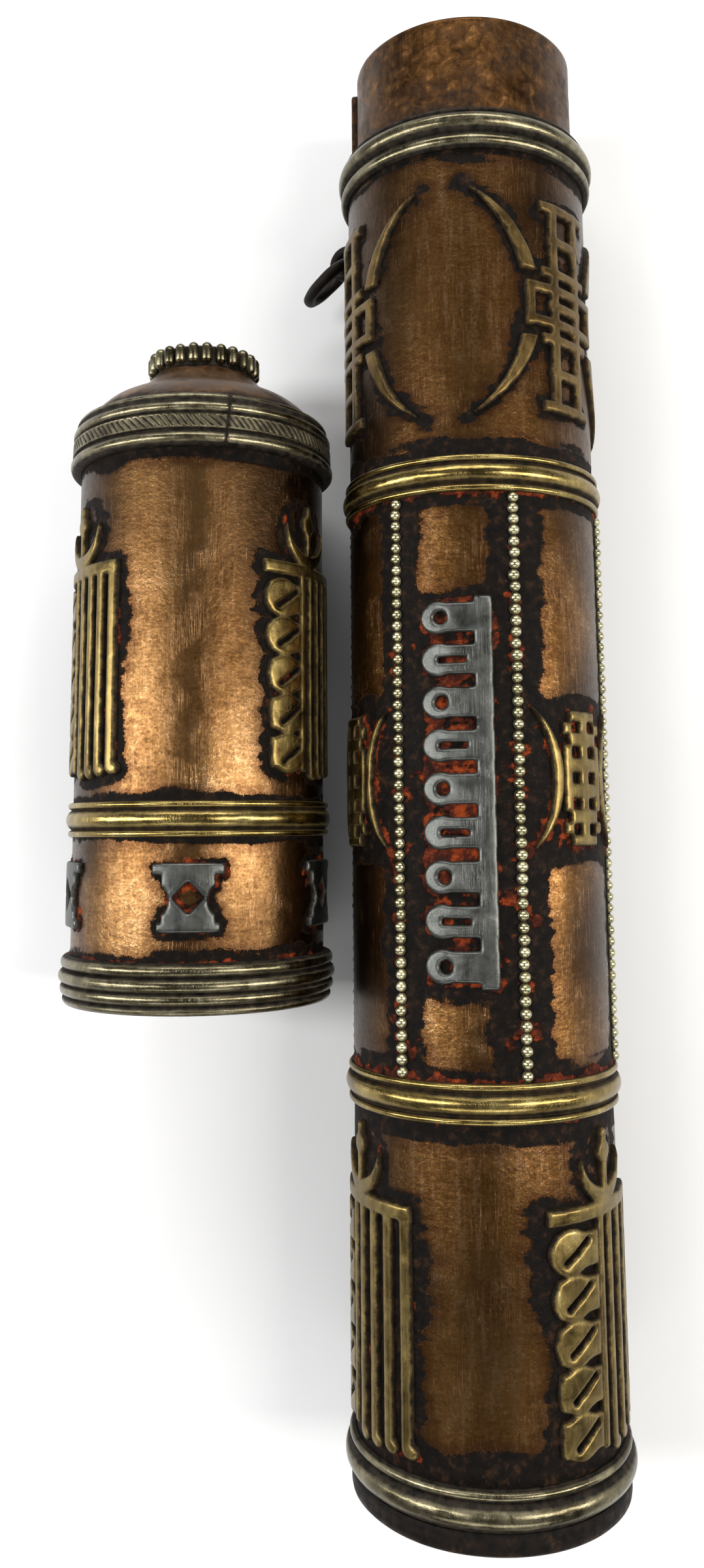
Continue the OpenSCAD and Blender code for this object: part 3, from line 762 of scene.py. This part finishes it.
def patch_outline(patch, r, step):
    """A patch as flat polygons: rows of angle, height and distance to its edge, and the faces over them."""
    da = math.degrees(step / r)
    limit = math.degrees(math.asin(min(patch.half_w / r, 0.98)))
    a = patch.angle + np.arange(-limit, limit + da, da)
    y = patch.y + np.arange(-patch.half_h, patch.half_h + step, step)
    aa, yy = np.meshgrid(a, y)
    d = patch.distance(r, aa, yy)
    keys, rows, faces = {}, [], []

    def vertex(key):
        if key not in keys:
            i, j, i2, j2 = key
            t = 0.0 if (i, j) == (i2, j2) else d[i, j] / (d[i, j] - d[i2, j2])
            keys[key] = len(rows)
            rows.append((aa[i, j] + t * (aa[i2, j2] - aa[i, j]), yy[i, j] + t * (yy[i2, j2] - yy[i, j]),
                         min(d[i, j], 0.0) if t == 0 else 0.0))
        return keys[key]

    near = np.minimum.reduce([d[:-1, :-1], d[1:, :-1], d[:-1, 1:], d[1:, 1:]]) < 0
    for i, j in zip(*np.nonzero(near)):
        at = ((i, j), (i, j + 1), (i + 1, j + 1), (i + 1, j))
        corners = [(*p, *p) for p in at]
        edges = [tuple(sum(sorted((at[k], at[(k + 1) % 4])), ())) for k in range(4)]
        faces.append([vertex(key) for key in cell_polygon([d[p] for p in at], corners, edges)])
    return np.array(rows), faces


def relief(name, node, patches, tube, look, edge, seed):
    """Raised metal over each patch, rounded over a width of edge, closed by a floor in the wall."""
    step, lip, unevenness = 0.36, 0.45, 0.10
    heap = Heap()
    for patch in patches:
        rows, tops = patch_outline(patch, tube.r, step)
        inside = np.clip(-rows[:, 2] / edge, 0, 1)
        crown = RELIEF * (lip + (1 - lip) * np.sqrt(1 - (1 - inside) ** 2))
        crown = crown + dents(rows[:, 0] * 6, rows[:, 1] * 6, unevenness, seed) * inside
        crown = np.minimum(crown, RELIEF)
        top = polar(tube.r + crown, rows[:, 0], rows[:, 1], tube.axis)
        floor = polar(np.full(len(rows), tube.r - 0.15), rows[:, 0], rows[:, 1], tube.axis)
        count = len(rows)
        edges = [pair for face in tops for pair in zip(face, face[1:] + face[:1])]
        known = set(edges)
        faces = tops + [[count + v for v in reversed(face)] for face in tops]
        faces += [[w, v, count + v, count + w] for v, w in edges if (w, v) not in known]
        heap.add(np.concatenate([top, floor]), faces, np.concatenate([0.15 + 0.85 * inside, np.zeros(count)]))
    heap.make(name, node, tube.body, look, 55.0)


def all_distance(names, r, a, y):
    best = np.full(np.broadcast(a, y).shape, 99.0)
    for name in names:
        for patch in ORNAMENTS[name]:
            best = np.minimum(best, patch.distance(r, a, y))
    return best


def skin(name, node, tube, zones, look, front, spread, seed):
    """A tube wall that carries where it's bare and waxed, and a tarnish value: random tarnish blotches plus
    painted shade that darkens the wall towards its sides, away from its front angle.
    """
    y0, y1 = span(node)
    turns, inner_rows = 360, 24
    rows = int((y1 - y0) / 0.55)
    a = np.arange(turns) * 360.0 / turns
    aa, yy = np.meshgrid(a, np.linspace(y0, y1, rows))
    bare, wax = zones(aa, yy)
    # Painted shade: darker towards the sides, away from the front angle; the cloud below adds random tarnish
    # blotches.
    tarnish_and_side_shade = np.clip((np.abs(np.sin(np.radians(aa - front))) - spread) / 0.5, 0, 1)
    tarnish_and_side_shade = tarnish_and_side_shade * 0.75 + 1.6 * (cloud(tube.r, aa, yy, 0.05, seed + 60) - 0.52)
    outer_r = tube.r - 0.08 + np.minimum(dents(aa, yy, 0.07, seed), 0.06)
    outer_r = outer_r + 0.30 * np.clip(wax * 3, 0, 1) - 0.04 * np.clip(-bare, 0, 1)
    ia, iy = np.meshgrid(a, np.linspace(y1, y0, inner_rows))
    points = np.concatenate([polar(outer_r, aa, yy, tube.axis).reshape(-1, 3),
                             polar(np.full(ia.shape, tube.r - WALL), ia, iy, tube.axis).reshape(-1, 3)])
    values = {key: np.concatenate([outside.reshape(-1), np.full(ia.size, inside)]) for key, outside, inside in
              (("bare", bare, -0.4), ("wax", wax, -1.0), ("tarnish_and_side_shade", tarnish_and_side_shade, 0.6))}
    faces = grid_faces(rows + inner_rows, turns, wrap_rows=True)
    add_piece(name, node, points, faces, tube.body, look, values, 50.0)


def wax_near(d, a, y, level, fall, seed, r=TUBE_R):
    """Where wax is left within a few millimetres of an edge: above 0 there."""
    spots = 0
    for per_mm, share, more in ((0.26, 0.5, 0), (0.7, 0.3, 1), (1.7, 0.2, 2)):
        spots = spots + share * cloud(r, a, y, per_mm, seed + more)
    return np.where(d < 5, (spots - 0.5) * 2.2 + level - fall * np.maximum(d, 0), -1.0)


def ragged_zone(r, a, y, seed):
    """A slow waver and a finer one drawn out round the tube, in millimetres."""
    return 2.4 * (cloud(r, a, y, 0.13, seed) - 0.5) + 2.2 * (cloud(r * 0.3, a, y * 2.2, 0.5, seed + 1) - 0.5)


def arc(a, angle):
    """How far round the case's wall each angle is from one angle, in millimetres."""
    return TUBE_R * np.radians((a - angle + 180) % 360 - 180)


def keep_off(near, y, edges):
    """Takes the copper back a margin from rings, given as (height of the edge, margin)."""
    for edge, margin in edges:
        near = np.minimum(near, np.abs(y - edge) - margin)
    return near


def case_zones(a, y):
    """Bare copper above 0 away from ornaments and rings, and inside the middle panels' patches; and wax."""
    low, high = span("lower_brass_ring"), span("upper_brass_ring")
    upper = all_distance(["upper_crescents", "upper_frets"], TUBE_R, a, y)
    plaque = all_distance(["panel_plaques"], TUBE_R, a, y)
    panel = all_distance(["panel_crescents", "panel_frets"], TUBE_R, a, y)
    foot = all_distance(["foot_pendants"], TUBE_R, a, y)
    near = np.minimum(np.minimum(upper - 1.1, foot - 2.3), panel - 1.5)
    near = keep_off(near, y, ((span("top_ring")[0], 1.8), (high[1], 3.2), (high[0], 1.6), (low[1], 1.6),
                              (low[0], 4.0), (span("base_ring")[1], 5.0)))
    middle_part = (y > low[1] - 1) & (y < high[0] + 1)
    plaque_y, motif_y = span("panel_plaques"), span("panel_crescents")
    patches = np.full(a.shape, -9.0)
    for i in range(3):
        for angle, wide, (y0, y1) in ((WINDOW_A - 1.0, 12.6, (plaque_y[0] - 2.0, plaque_y[1] + 1.5)),
                                      (WINDOW_A + 61.5, 19.5, (motif_y[0] - 2.2, motif_y[1] + 2.2))):
            x = arc(a, angle + i * 120)
            for b0, b1 in ((low[1] + 2.5, y0), (y1, high[0] - 2.5)):
                patches = np.maximum(patches, -bar(x, y, 0, (b0 + b1) / 2, wide, b1 - b0, 1.5))
    bare = np.where(middle_part, np.minimum(near, patches), near) + ragged_zone(TUBE_R, a, y, 19)
    wax = wax_near(plaque, a, y, -0.06, 0.30, 3)
    for i in range(3):
        between = (bar(arc(a, WINDOW_A + 0.5 + i * 120), y, 0, PLAQUE_Y, 13, 71) < 0) & (plaque > 0)
        wax = np.where(between, wax + 0.34, wax)
    wax = np.maximum(wax, wax_near(panel, a, y, 0.10, 0.40, 5))
    wax = np.maximum(wax, wax_near(foot, a, y, -0.36, 0.35, 7))
    for edge, level in ((high[0], 0.22), (low[1], 0.30), (low[0], -0.30)):
        wax = np.maximum(wax, wax_near(np.abs(y - edge), a, y, level, 0.42, 9))
    beside = np.minimum.reduce([np.abs(arc(a, angle)) for angle in WIRE_ANGLES])
    wax = np.maximum(wax, np.where(middle_part, wax_near(beside, a, y, -0.20, 0.10, 11), -1.0))
    return bare, wax


def cap_zones(a, y):
    pendants = all_distance(["cap_pendants"], CAP_R, a, y)
    plaques = all_distance(["cap_band_plaques"], CAP_R, a, y)
    ring, mouth = span("cap_mid_ring"), span("cap_mouth_ring")[1]
    near = keep_off(np.minimum(pendants - 1.5, plaques - 0.7), y, (
        (span("cap_shoulder_ring")[0], 2.4), (ring[1], 1.4), (ring[0], 1.2), (mouth, 1.5)))
    wax = -1.0
    for d, level, fall, seed in ((plaques, 0.04, 0.36, 13), (pendants, -0.30, 0.4, 15),
                                 (np.abs(y - mouth), -0.08, 0.5, 17)):
        wax = np.maximum(wax, wax_near(d, a, y, level, fall, seed, CAP_R))
    return near + ragged_zone(CAP_R, a, y, 23) * 0.8, wax


def make_tubes():
    # The front angle and spread set where painted shade darkens the sides of each tube.
    skin("case_copper_skin", "body_tube", CASE, case_zones, "copper", 5.0, 0.48, 1)
    skin("cap_copper_skin", "cap_tube", CAP, cap_zones, "cap_copper", 0.0, 0.28, 2)


def make_ornaments():
    for seed, (node, patches) in enumerate(ORNAMENTS.items()):
        tube = CAP if node.startswith("cap_") else CASE
        look = "silver" if "plaques" in node else "dull_brass" if node.startswith("upper") else "brass"
        relief("cut_" + node, node, patches, tube, look, 0.5 if look == "silver" else 0.8, seed)


# ---------------------------------------------------------------- rings
def beaded_ring(node, tube, band, beads, look, seed):
    """A ring round a tube: a band with beads of (place, half width, how far it's proud)."""
    y0, y1 = span(node)
    s, r, cav = bead_outline(y1 - y0, tube.r, band, beads)
    rows = [(tube.r, s[0], 0.25), *zip(r, s, cav), (tube.r, s[-1], 0.25)]

    def nicks(a, r, y, cav):
        spots = cloud(r, a, y, 0.16, seed)
        worn = cloud(r, a, y, 0.7, seed + 40)
        return r - 0.10 * np.clip(worn - 0.72, 0, 1) * 3, y, cav - 0.30 * np.clip(spots - 0.5, 0, 1)
    lathe(node + "_turned", node, rows, tube, look, 256, nicks, seed, 0.07)


def make_rings():
    for node, tube, proud, seed in (("lower_brass_ring", CASE, 1.48, 3), ("upper_brass_ring", CASE, 1.48, 4),
                                    ("cap_mid_ring", CAP, 1.33, 5)):
        width = span(node)[1] - span(node)[0]
        beads = [(width / 2, 2.2, proud), (0.65, 0.65, 0.95), (width - 0.65, 0.65, 0.95)]
        beaded_ring(node, tube, 0.3, beads, "brass_ring", seed)
    beaded_ring("base_ring", CASE, 0.35, [(2.5, 2.4, REST_R - TUBE_R), (5.75, 0.75, 1.2)], "white", 6)
    proud = node_box("cap_mouth_ring")[1][2] - CAP_Z - CAP_R
    beads = [(0.9, 0.9, 1.3), (2.9, 1.2, proud - 0.35), (5.3, 1.3, proud), (7.9, 1.3, proud - 0.4)]
    beaded_ring("cap_mouth_ring", CAP, 0.4, beads, "white", 7)


def make_top_ring():
    y0, y1 = span("top_ring")
    width, step = y1 - y0, span("body_tube")[1] - y0
    beads = [(1.5, 1.45, 1.5), (5.35, 2.15, REST_R - TUBE_R), (7.85, 0.4, 0.9)]
    s, r, cav = bead_outline(width, TUBE_R, 0.45, beads)
    rows = [(TUBE_R, 0, 0.2), *zip(r, s, cav), (TUBE_R - 0.4, width, 0.3), (NECK_R, width, 0.1),
            (NECK_R, step, 0.0), (TUBE_R, step, 0.0)]
    lathe("top_ring_turned", "top_ring", rows, CASE, "white", 256, None, 8, 0.07)


def make_foot():
    y1 = span("base_rim")[1]
    outer = node_box("base_rim")[1][2]
    rows = dense([(TUBE_R, 0.1, 0.15), (outer - 0.6, 0.0, 0.45), (outer - 0.15, 0.45, 0.5),
                  (outer, 1.2, 0.22), (outer, y1 - 0.5, 0.10), (outer - 0.3, y1, 0.0), (TUBE_R, y1, 0.0)],
                 0.4)
    lathe("base_rim_turned", "base_rim", rows, CASE, "rim", 224, None, 9, 0.12)
    thick = span("base_plate")[1]

    def planished(a, r, y, cav):
        marks = cloud(r, a, 0 * y, 0.28, 21)
        face = (y < 0.4) & (r < TUBE_R - 0.8)
        ring = np.exp(-((r - 17.5) / 0.5) ** 2) + np.exp(-((r - 16.0) / 0.4) ** 2)
        lift = np.where(face, 0.22 * marks + 0.25 * ring, 0.0)
        return r, y + lift, np.where(face, 0.35 + 0.9 * (marks - 0.5) - 0.4 * ring, cav)
    rim = TUBE_R - 0.05
    rows = [(0.0, 0.1, 0.6), *((r, 0.1, 0.6) for r in np.arange(0.8, rim - 1, 0.7)),
            (rim - 0.4, 0.1, 0.3), (rim, 0.5, 0.1), (rim, thick, 0.0), (0.0, thick, 0.2)]
    lathe("base_plate_hammered", "base_plate", rows, CASE, "neck", 160, planished, 10, 0.0)


def make_neck():
    y0, y1 = span("neck_sleeve")
    seat, top, neck = TUBE_R - WALL, span("body_tube")[1], NECK_R - 0.05
    rows = dense([(seat - WALL, y0, 0.2), (seat, y0, 0.2), (seat, top - 3, 0.2), (neck, top - 1.5, 0.0),
                  (neck, top + 4.5, 0.05), (neck, top + 8, 0.45), (neck, y1 - 2, 0.6), (neck, y1 - 0.25, 0.9),
                  (NECK_R - 0.3, y1, 1.0), (NECK_R - WALL, y1 - 0.05, 0.7), (NECK_R - WALL, y1 - 4, 0.25),
                  (NECK_R - WALL, top - 2.3, 0.1), (seat - WALL, top - 3.8, 0.1)], 0.5)
    worn = mottled((0.11, 31, 0.7, 0.0), (0.45, 33, 0.35, 0.05))
    lathe("neck_sleeve_worn", "neck_sleeve", rows, CASE, "neck", 288, worn, 11, 0.12, y0=0.0)


def make_seam_strip():
    """The lapped strip on the neck, with rounded upper corners and soft edges."""
    y0, y1 = span("neck_seam_strip")
    thick, corner = 1.2, 2.4
    aa, vv = np.meshgrid(np.linspace(*STRIP_A, 90), np.linspace(0, 1, 44))
    inset = np.minimum(aa - STRIP_A[0], STRIP_A[1] - aa) * math.radians(1) * NECK_R
    drop = corner - np.sqrt(np.maximum(corner ** 2 - np.maximum(corner - inset, 0) ** 2, 0))
    y = y0 + vv * (y1 - y0 - drop)
    side = np.minimum(np.minimum(inset, y1 - drop - y), 0.5) / 0.5
    lift = thick * (0.75 + 0.25 * np.sqrt(np.clip(side, 0, 1))) - 0.08 * cloud(NECK_R, aa, y, 0.5, 35)
    points, faces = slab(polar(NECK_R + lift, aa, y), polar(NECK_R - 0.05 + 0 * aa, aa, y))
    cav = np.clip(0.25 + 0.5 * side + 0.6 * (cloud(NECK_R, aa, y, 0.3, 37) - 0.5), 0, 1).reshape(-1)
    strip = Heap()
    strip.add(points, faces, np.concatenate([cav, 0 * cav]))
    strip.make("neck_seam_lapped", "neck_seam_strip", "case", "neck", 50.0)


# ---------------------------------------------------------------- cap
def make_shoulder():
    y0, y1 = span("cap_shoulder_ring")
    big = node_box("cap_shoulder_ring")[1][2] - CAP_Z
    bore = 22.0
    width, step = y1 - y0, span("cap_tube")[1] - y0
    s = np.linspace(0, width - 0.4, 120)
    r = np.interp(s, [0, 1, 3.1, 3.4, 6.1, 6.5, 10.2, 10.8],
                  [CAP_R + 0.9, 26.4, 26.4, 27.0, 26.9, 26.2, 25.9, 25.2])
    for at, half, top in ((1.45, 1.45, big), (7.7, 1.2, 26.9), (9.8, 0.9, 26.2)):
        r = raise_bead(s, r, at, half, top)
    rows = [(CAP_R, 0, 0.2), *zip(r, s, groove_depth(s, r, 1.2, 0.7)), (DOME_FOOT_R, width, 0.0),
            (bore, width, 0.0), (bore, step, 0.0), (CAP_R, step, 0.0)]

    def hatch(a, r, y, cav):
        band = np.clip(np.minimum(y - 3.5, 6.0 - y) / 0.3, 0, 1) * (r > 26)
        waver = 0.25 * np.sin(np.radians(a) * 11) + 0.4 * cloud(r, a, y, 0.3, 55)
        line = np.abs(((a * 0.32 + y * 0.62 + waver) % 1.0) - 0.5) * 2
        cut = band * np.clip(1 - line / 0.55, 0, 1)
        seam = np.exp(-(((a - SEAM_A - (y - 5) * 0.25 + 180) % 360 - 180) / 0.55) ** 2) * (r > 24)
        dull = 0.35 * np.clip(cloud(r, a, y, 0.2, 51) - 0.5, 0, 1)
        dark = 0.10 + 0.22 * band + 0.25 * np.clip(cloud(r, a, y, 0.5, 53) - 0.35, 0, 1)
        return r - 0.22 * cut - 0.35 * seam, y, cav - 0.5 * cut - 0.9 * seam - dull - dark
    lathe("cap_shoulder_hatched", "cap_shoulder_ring", rows, CAP, "white", 720, hatch, 12, 0.07)


def dome_row(k, inset, height, cav):
    """Ogee outline of the dome: k runs from its foot, 0, to its top, 1."""
    return (DOME_FOOT_R + (DOME_TOP_R - DOME_FOOT_R) * k - inset,
            height * (k + 0.07 * math.sin(2 * math.pi * k)) - inset * min(0.4, 4 * k), cav)


def make_dome():
    y0, y1 = span("cap_dome")
    height, hole_r = y1 - y0, 2.05
    rows = [dome_row(k, 0, height, 0.75 * np.clip(min(k / 0.12, (1 - k) / 0.10), 0, 1))
            for k in np.linspace(0, 1, 30)]
    rows += [(6.0, height, 0.0), (hole_r, height, 0.0), (hole_r, height - WALL, 0.0),
             (DOME_TOP_R - WALL - 0.3, height - WALL, 0.0)]
    rows += [dome_row(k, WALL, height, 0.1) for k in np.linspace(1, 0, 12)]
    beaten = mottled((0.22, 61, 0.8, 0.10), (0.6, 63, 0.3, 0.0), inner_r=11)
    lathe("cap_dome_beaten", "cap_dome", rows, CAP, "dome", 256, beaten, 13, 0.05)


def make_button():
    high = span("finial_button")[1] - span("finial_button")[0]
    rows = [(2.0, 0.0, 0.0), (BUTTON_R, 0.0, 0.0), (BUTTON_R, 0.3, 0.1), (BUTTON_R, 3.7, 0.2),
            (BUTTON_R - 0.3, 4.1, 0.6), (9.5, 4.3, 0.8), (9.1, 4.05, 0.1), (8.7, 4.0, 0.0), (8.3, 4.35, 0.7),
            (7.4, 4.7, 0.9), (6.0, 4.95, 0.8), (4.4, 5.1, 0.6), (3.9, 4.95, 0.1), (3.4, 5.1, 0.6),
            (2.0, high - 0.04, 0.9), (1.0, high, 1.0), (0.0, high, 1.0), (0.0, 2.5, 0.0), (2.0, 2.5, 0.0)]
    worn = mottled((0.5, 71, 0.5, 0.0))
    lathe("finial_button_turned", "finial_button", rows, CAP, "white", 128, worn, 14, 0.0)


def make_finial_beads():
    y0 = span("finial_button")[0]
    beads = Heap()
    for i in range(FINIAL_COUNT):
        size = 1.0 + 0.04 * RNG.standard_normal()
        ball, quads = bead(1.22 * min(size, 1.02), 0.95, 14, 12)
        local = ball + np.sign(ball[:, 2:]) * np.array([[0, 0, 1.0]])
        turn = math.radians(i * 360 / FINIAL_COUNT + RNG.uniform(-0.4, 0.4))
        out_r = BUTTON_R + 0.4 + local[:, 0]
        x = out_r * math.sin(turn) + local[:, 1] * math.cos(turn)
        z = out_r * math.cos(turn) - local[:, 1] * math.sin(turn)
        points = np.stack([(CAP_X + x) * MM, (y0 + 2.3 + local[:, 2]) * MM, (CAP_Z + z) * MM], -1)
        beads.add(points, quads, np.clip(0.1 + 0.75 * (local[:, 0] + 0.5), 0, 1))
    beads.make("finial_beads_ribbed", "finial_beads", "cap", "white")


def make_rivet():
    long = span("finial_rivet")[1] - span("finial_rivet")[0]
    rows = [(0.0, 0.0, 0.4), (1.6, 0.05, 0.9), (2.8, 0.35, 0.8), (3.4, 1.0, 0.3), (3.3, 1.2, 0.0),
            (5.8, 1.25, 0.6), (6.0, 1.6, 0.9), (5.9, 2.35, 0.3), (2.0, 2.4, 0.0), (2.0, long, 0.0),
            (0.0, long, 0.0)]
    lathe("finial_rivet_clinched", "finial_rivet", rows, CAP, "brass", 64, None, 15, 0.08)


def bead(r, squash, around, down):
    """A small ball round the origin: its points, in millimetres, and its faces."""
    lat = np.linspace(0, math.pi, down + 1)
    lon = np.arange(around) * 2 * math.pi / around
    la, lo = np.meshgrid(lat, lon, indexing="ij")
    points = np.stack([r * np.sin(la) * np.cos(lo), squash * r * np.sin(la) * np.sin(lo), r * np.cos(la)], -1)
    return points.reshape(-1, 3), grid_faces(down + 1, around)


# ---------------------------------------------------------------- wires, lug and ring
def make_wires():
    """Six rows of small balls, each on a low strip of solder."""
    y0, y1 = span("panel_wires")
    pitch = 2.12
    count = int((y1 - y0) / pitch)
    wires = Heap()
    for angle in WIRE_ANGLES:
        for k in range(count):
            r = 1.05 * (1 + 0.02 * RNG.standard_normal())
            ball, quads = bead(r, 1.0, 16, 10)
            y = y0 + (k + 0.5) * (y1 - y0) / count + RNG.normal(0, 0.03) + ball[:, 1] * 0.98
            a = math.radians(angle) + (ball[:, 0] + RNG.normal(0, 0.07)) / TUBE_R
            up = TUBE_R + 0.18 + ball[:, 2]
            points = np.stack([up * np.sin(a) * MM, y * MM, up * np.cos(a) * MM], -1)
            wires.add(points, quads, np.clip((ball[:, 2] + 0.35) / 1.0, 0, 1))
        a = angle + np.degrees(np.linspace(-0.55, 0.55, 5) / TUBE_R)
        aa, yy = np.meshgrid(a, np.linspace(y0, y1, 60))
        hump = 0.55 * (1 - ((aa - angle) * TUBE_R * math.radians(1) / 0.6) ** 2)
        wires.add(*slab(polar(TUBE_R + hump, aa, yy), polar(TUBE_R - 0.2 + 0 * aa, aa, yy)), 0.1)
    wires.make("panel_wires_beaded", "panel_wires", "case", "pale_brass")


def wire_loop(name, node, body, centre, u, v, big, small, around, wire, rough, seed, cav):
    """A loop of slightly uneven iron wire round a centre, in the plane of u and v."""
    tt, ww = np.meshgrid(np.arange(around) * 2 * math.pi / around, np.arange(wire) * 2 * math.pi / wire,
                         indexing="ij")
    out = np.cos(tt)[..., None] * u + np.sin(tt)[..., None] * v
    uneven = rough * (np.sin(tt * 3 + seed) + np.sin(tt * 7 + ww * 2 + seed * 2)) / 2
    r = (small - rough + uneven)[..., None]
    points = centre + big * out + r * (np.cos(ww)[..., None] * out + np.sin(ww)[..., None] * np.cross(u, v))
    loop = Heap()
    loop.add(points.reshape(-1, 3) * MM, grid_faces(around, wire, wrap_rows=True), cav)
    loop.make(name, node, body, "iron")


def make_lug():
    plate = Patch(LUG_A, LUG_Y, LUG_R + 0.5, LUG_R + 0.5, lambda x, y: disc(x, y, 0, 0, LUG_R - 0.02))
    relief("lug_plate_soldered", "lug_plate", [plate], CASE, "iron", 0.9, 20)
    a = math.radians(LUG_A)
    out = np.array([math.sin(a), 0.0, math.cos(a)])
    along = np.array([0.0, 1.0, 0.0])
    tangent = np.array([math.cos(a), 0.0, -math.sin(a)])
    eye = out * (TUBE_R + 3.4) + along * LUG_Y
    wire_loop("lug_eye_forged", "lug_eye", "case", eye, out, along, 3.0, 1.15, 80, 18, 0.03, 1, 0.4)
    # The loose ring hangs through the eye, leaning towards the foot and turned a little in the eye
    lean, twist, ring_r = math.radians(37.0), math.radians(-25.0), 5.9
    outward = out * math.cos(lean) - along * math.sin(lean)
    upward = along * math.cos(lean) + out * math.sin(lean)
    across = tangent * math.cos(twist) + upward * math.sin(twist)
    wire_loop("suspension_ring_forged", "suspension_ring", "carrying_ring", eye + ring_r * outward, outward,
              across, ring_r, 1.3, 120, 24, 0.05, 2, 0.45)


# ---------------------------------------------------------------- scroll
def node_radius(node):
    lo, hi = node_box(node)
    return (hi[2] - lo[2]) / 2


def make_paper():
    y0, y1 = span("scroll_paper")
    outer, core, long = node_radius("scroll_paper"), ROLLER_R, y1 - y0
    turns_of_paper = 24
    ends = [core + 0.02 + (outer - core - 0.1) * k / 72 for k in range(73)]
    rows = [(r, 0.0, 0.5) for r in ends] + [(outer, y, 0.5) for y in np.linspace(0.3, long - 0.3, 60)]
    rows += [(r, long, 0.5) for r in reversed(ends)]

    def wound(a, r, y, cav):
        lap = (a % 360.0) / 360.0
        layer = ((r - core) / (outer - core) * turns_of_paper - lap) % 1.0
        at_end = (y < 0.1) | (y > long - 0.1)
        sink = np.where(at_end, 0.35 * layer + 0.5 * cloud(r, a, 0 * y, 0.08, 81), 0.0)
        y = np.where(y < 0.1, sink, np.where(y > long - 0.1, long - sink, y))
        loose = 0.30 * (1 - lap) + 0.08 * np.sin(np.radians(a) * 3 + y * 0.02)
        return np.where(at_end, r, r - np.clip(loose, 0, 0.45)), y, cav
    lathe("scroll_paper_rolled", "scroll_paper", rows, SCROLL, "paper", 200, wound, 16, 0.0, 60.0)


def make_roller():
    long, end = span("scroll_roller")[1] - span("scroll_roller")[0], 11.0
    knob = [(0.0, end), (2.0, 10.95), (4.2, 10.75), (5.2, 10.3), (6.2, 9.4), (6.0, 8.95), (5.4, 8.4),
            (6.0, 7.8), (7.4, 7.0), (8.6, 6.0), (8.95, 5.0), (9.0, 4.0), (8.75, 2.9), (8.2, 2.2), (7.6, 1.95),
            (5.0, 1.0), (ROLLER_R, 0.0)]
    rows = [(r, end - h, 0.5) for r, h in knob]
    rows += [(ROLLER_R, y, 0.5) for y in np.linspace(end + 2, long - end - 2, 8)]
    rows += [(r, long - end + h, 0.5) for r, h in reversed(knob)]
    lathe("scroll_roller_turned", "scroll_roller", rows, SCROLL, "wood", 96, None, 17, 0.04, 40.0)


def make_bands():
    first, last = span("scroll_bands")
    band_r = node_radius("scroll_bands")
    bands = Heap()
    for seed, centre in enumerate((first + 4, middle("scroll_paper"), last - 4)):
        aa, yy = np.meshgrid(np.linspace(0, 372, 150), np.linspace(-3.9, 3.9, 10))
        lap = np.clip((aa - 352) / 8, 0, 1) * 0.12
        r = band_r - 0.2 + lap + 0.03 * np.sin(np.radians(aa) * 5 + seed)
        yy = yy + centre + 0.1 * np.sin(np.radians(aa) * 2 + seed)
        bands.add(*slab(polar(r, aa, yy), polar(r - 0.08, aa, yy)), 0.5)
    bands.make("scroll_bands_wrapped", "scroll_bands", "scroll", "band", 50.0)


def main():
    make_camera()
    make_lights()
    make_floor()
    for make in (make_tubes, make_ornaments, make_rings, make_top_ring, make_foot, make_neck, make_seam_strip,
                 make_shoulder, make_dome, make_button, make_finial_beads, make_rivet, make_wires, make_lug,
                 make_paper, make_roller, make_bands):
        make()
    look = {"copper": "dome", "dark_copper": "neck", "white_metal": "white"}
    for row in frame["record"]["subparts"]:
        mesh = frame["nodes"][row["node"]].data
        mesh.materials.clear()
        mesh.materials.append(MATERIALS[look.get(row["material_slot"], row["material_slot"])])


main()
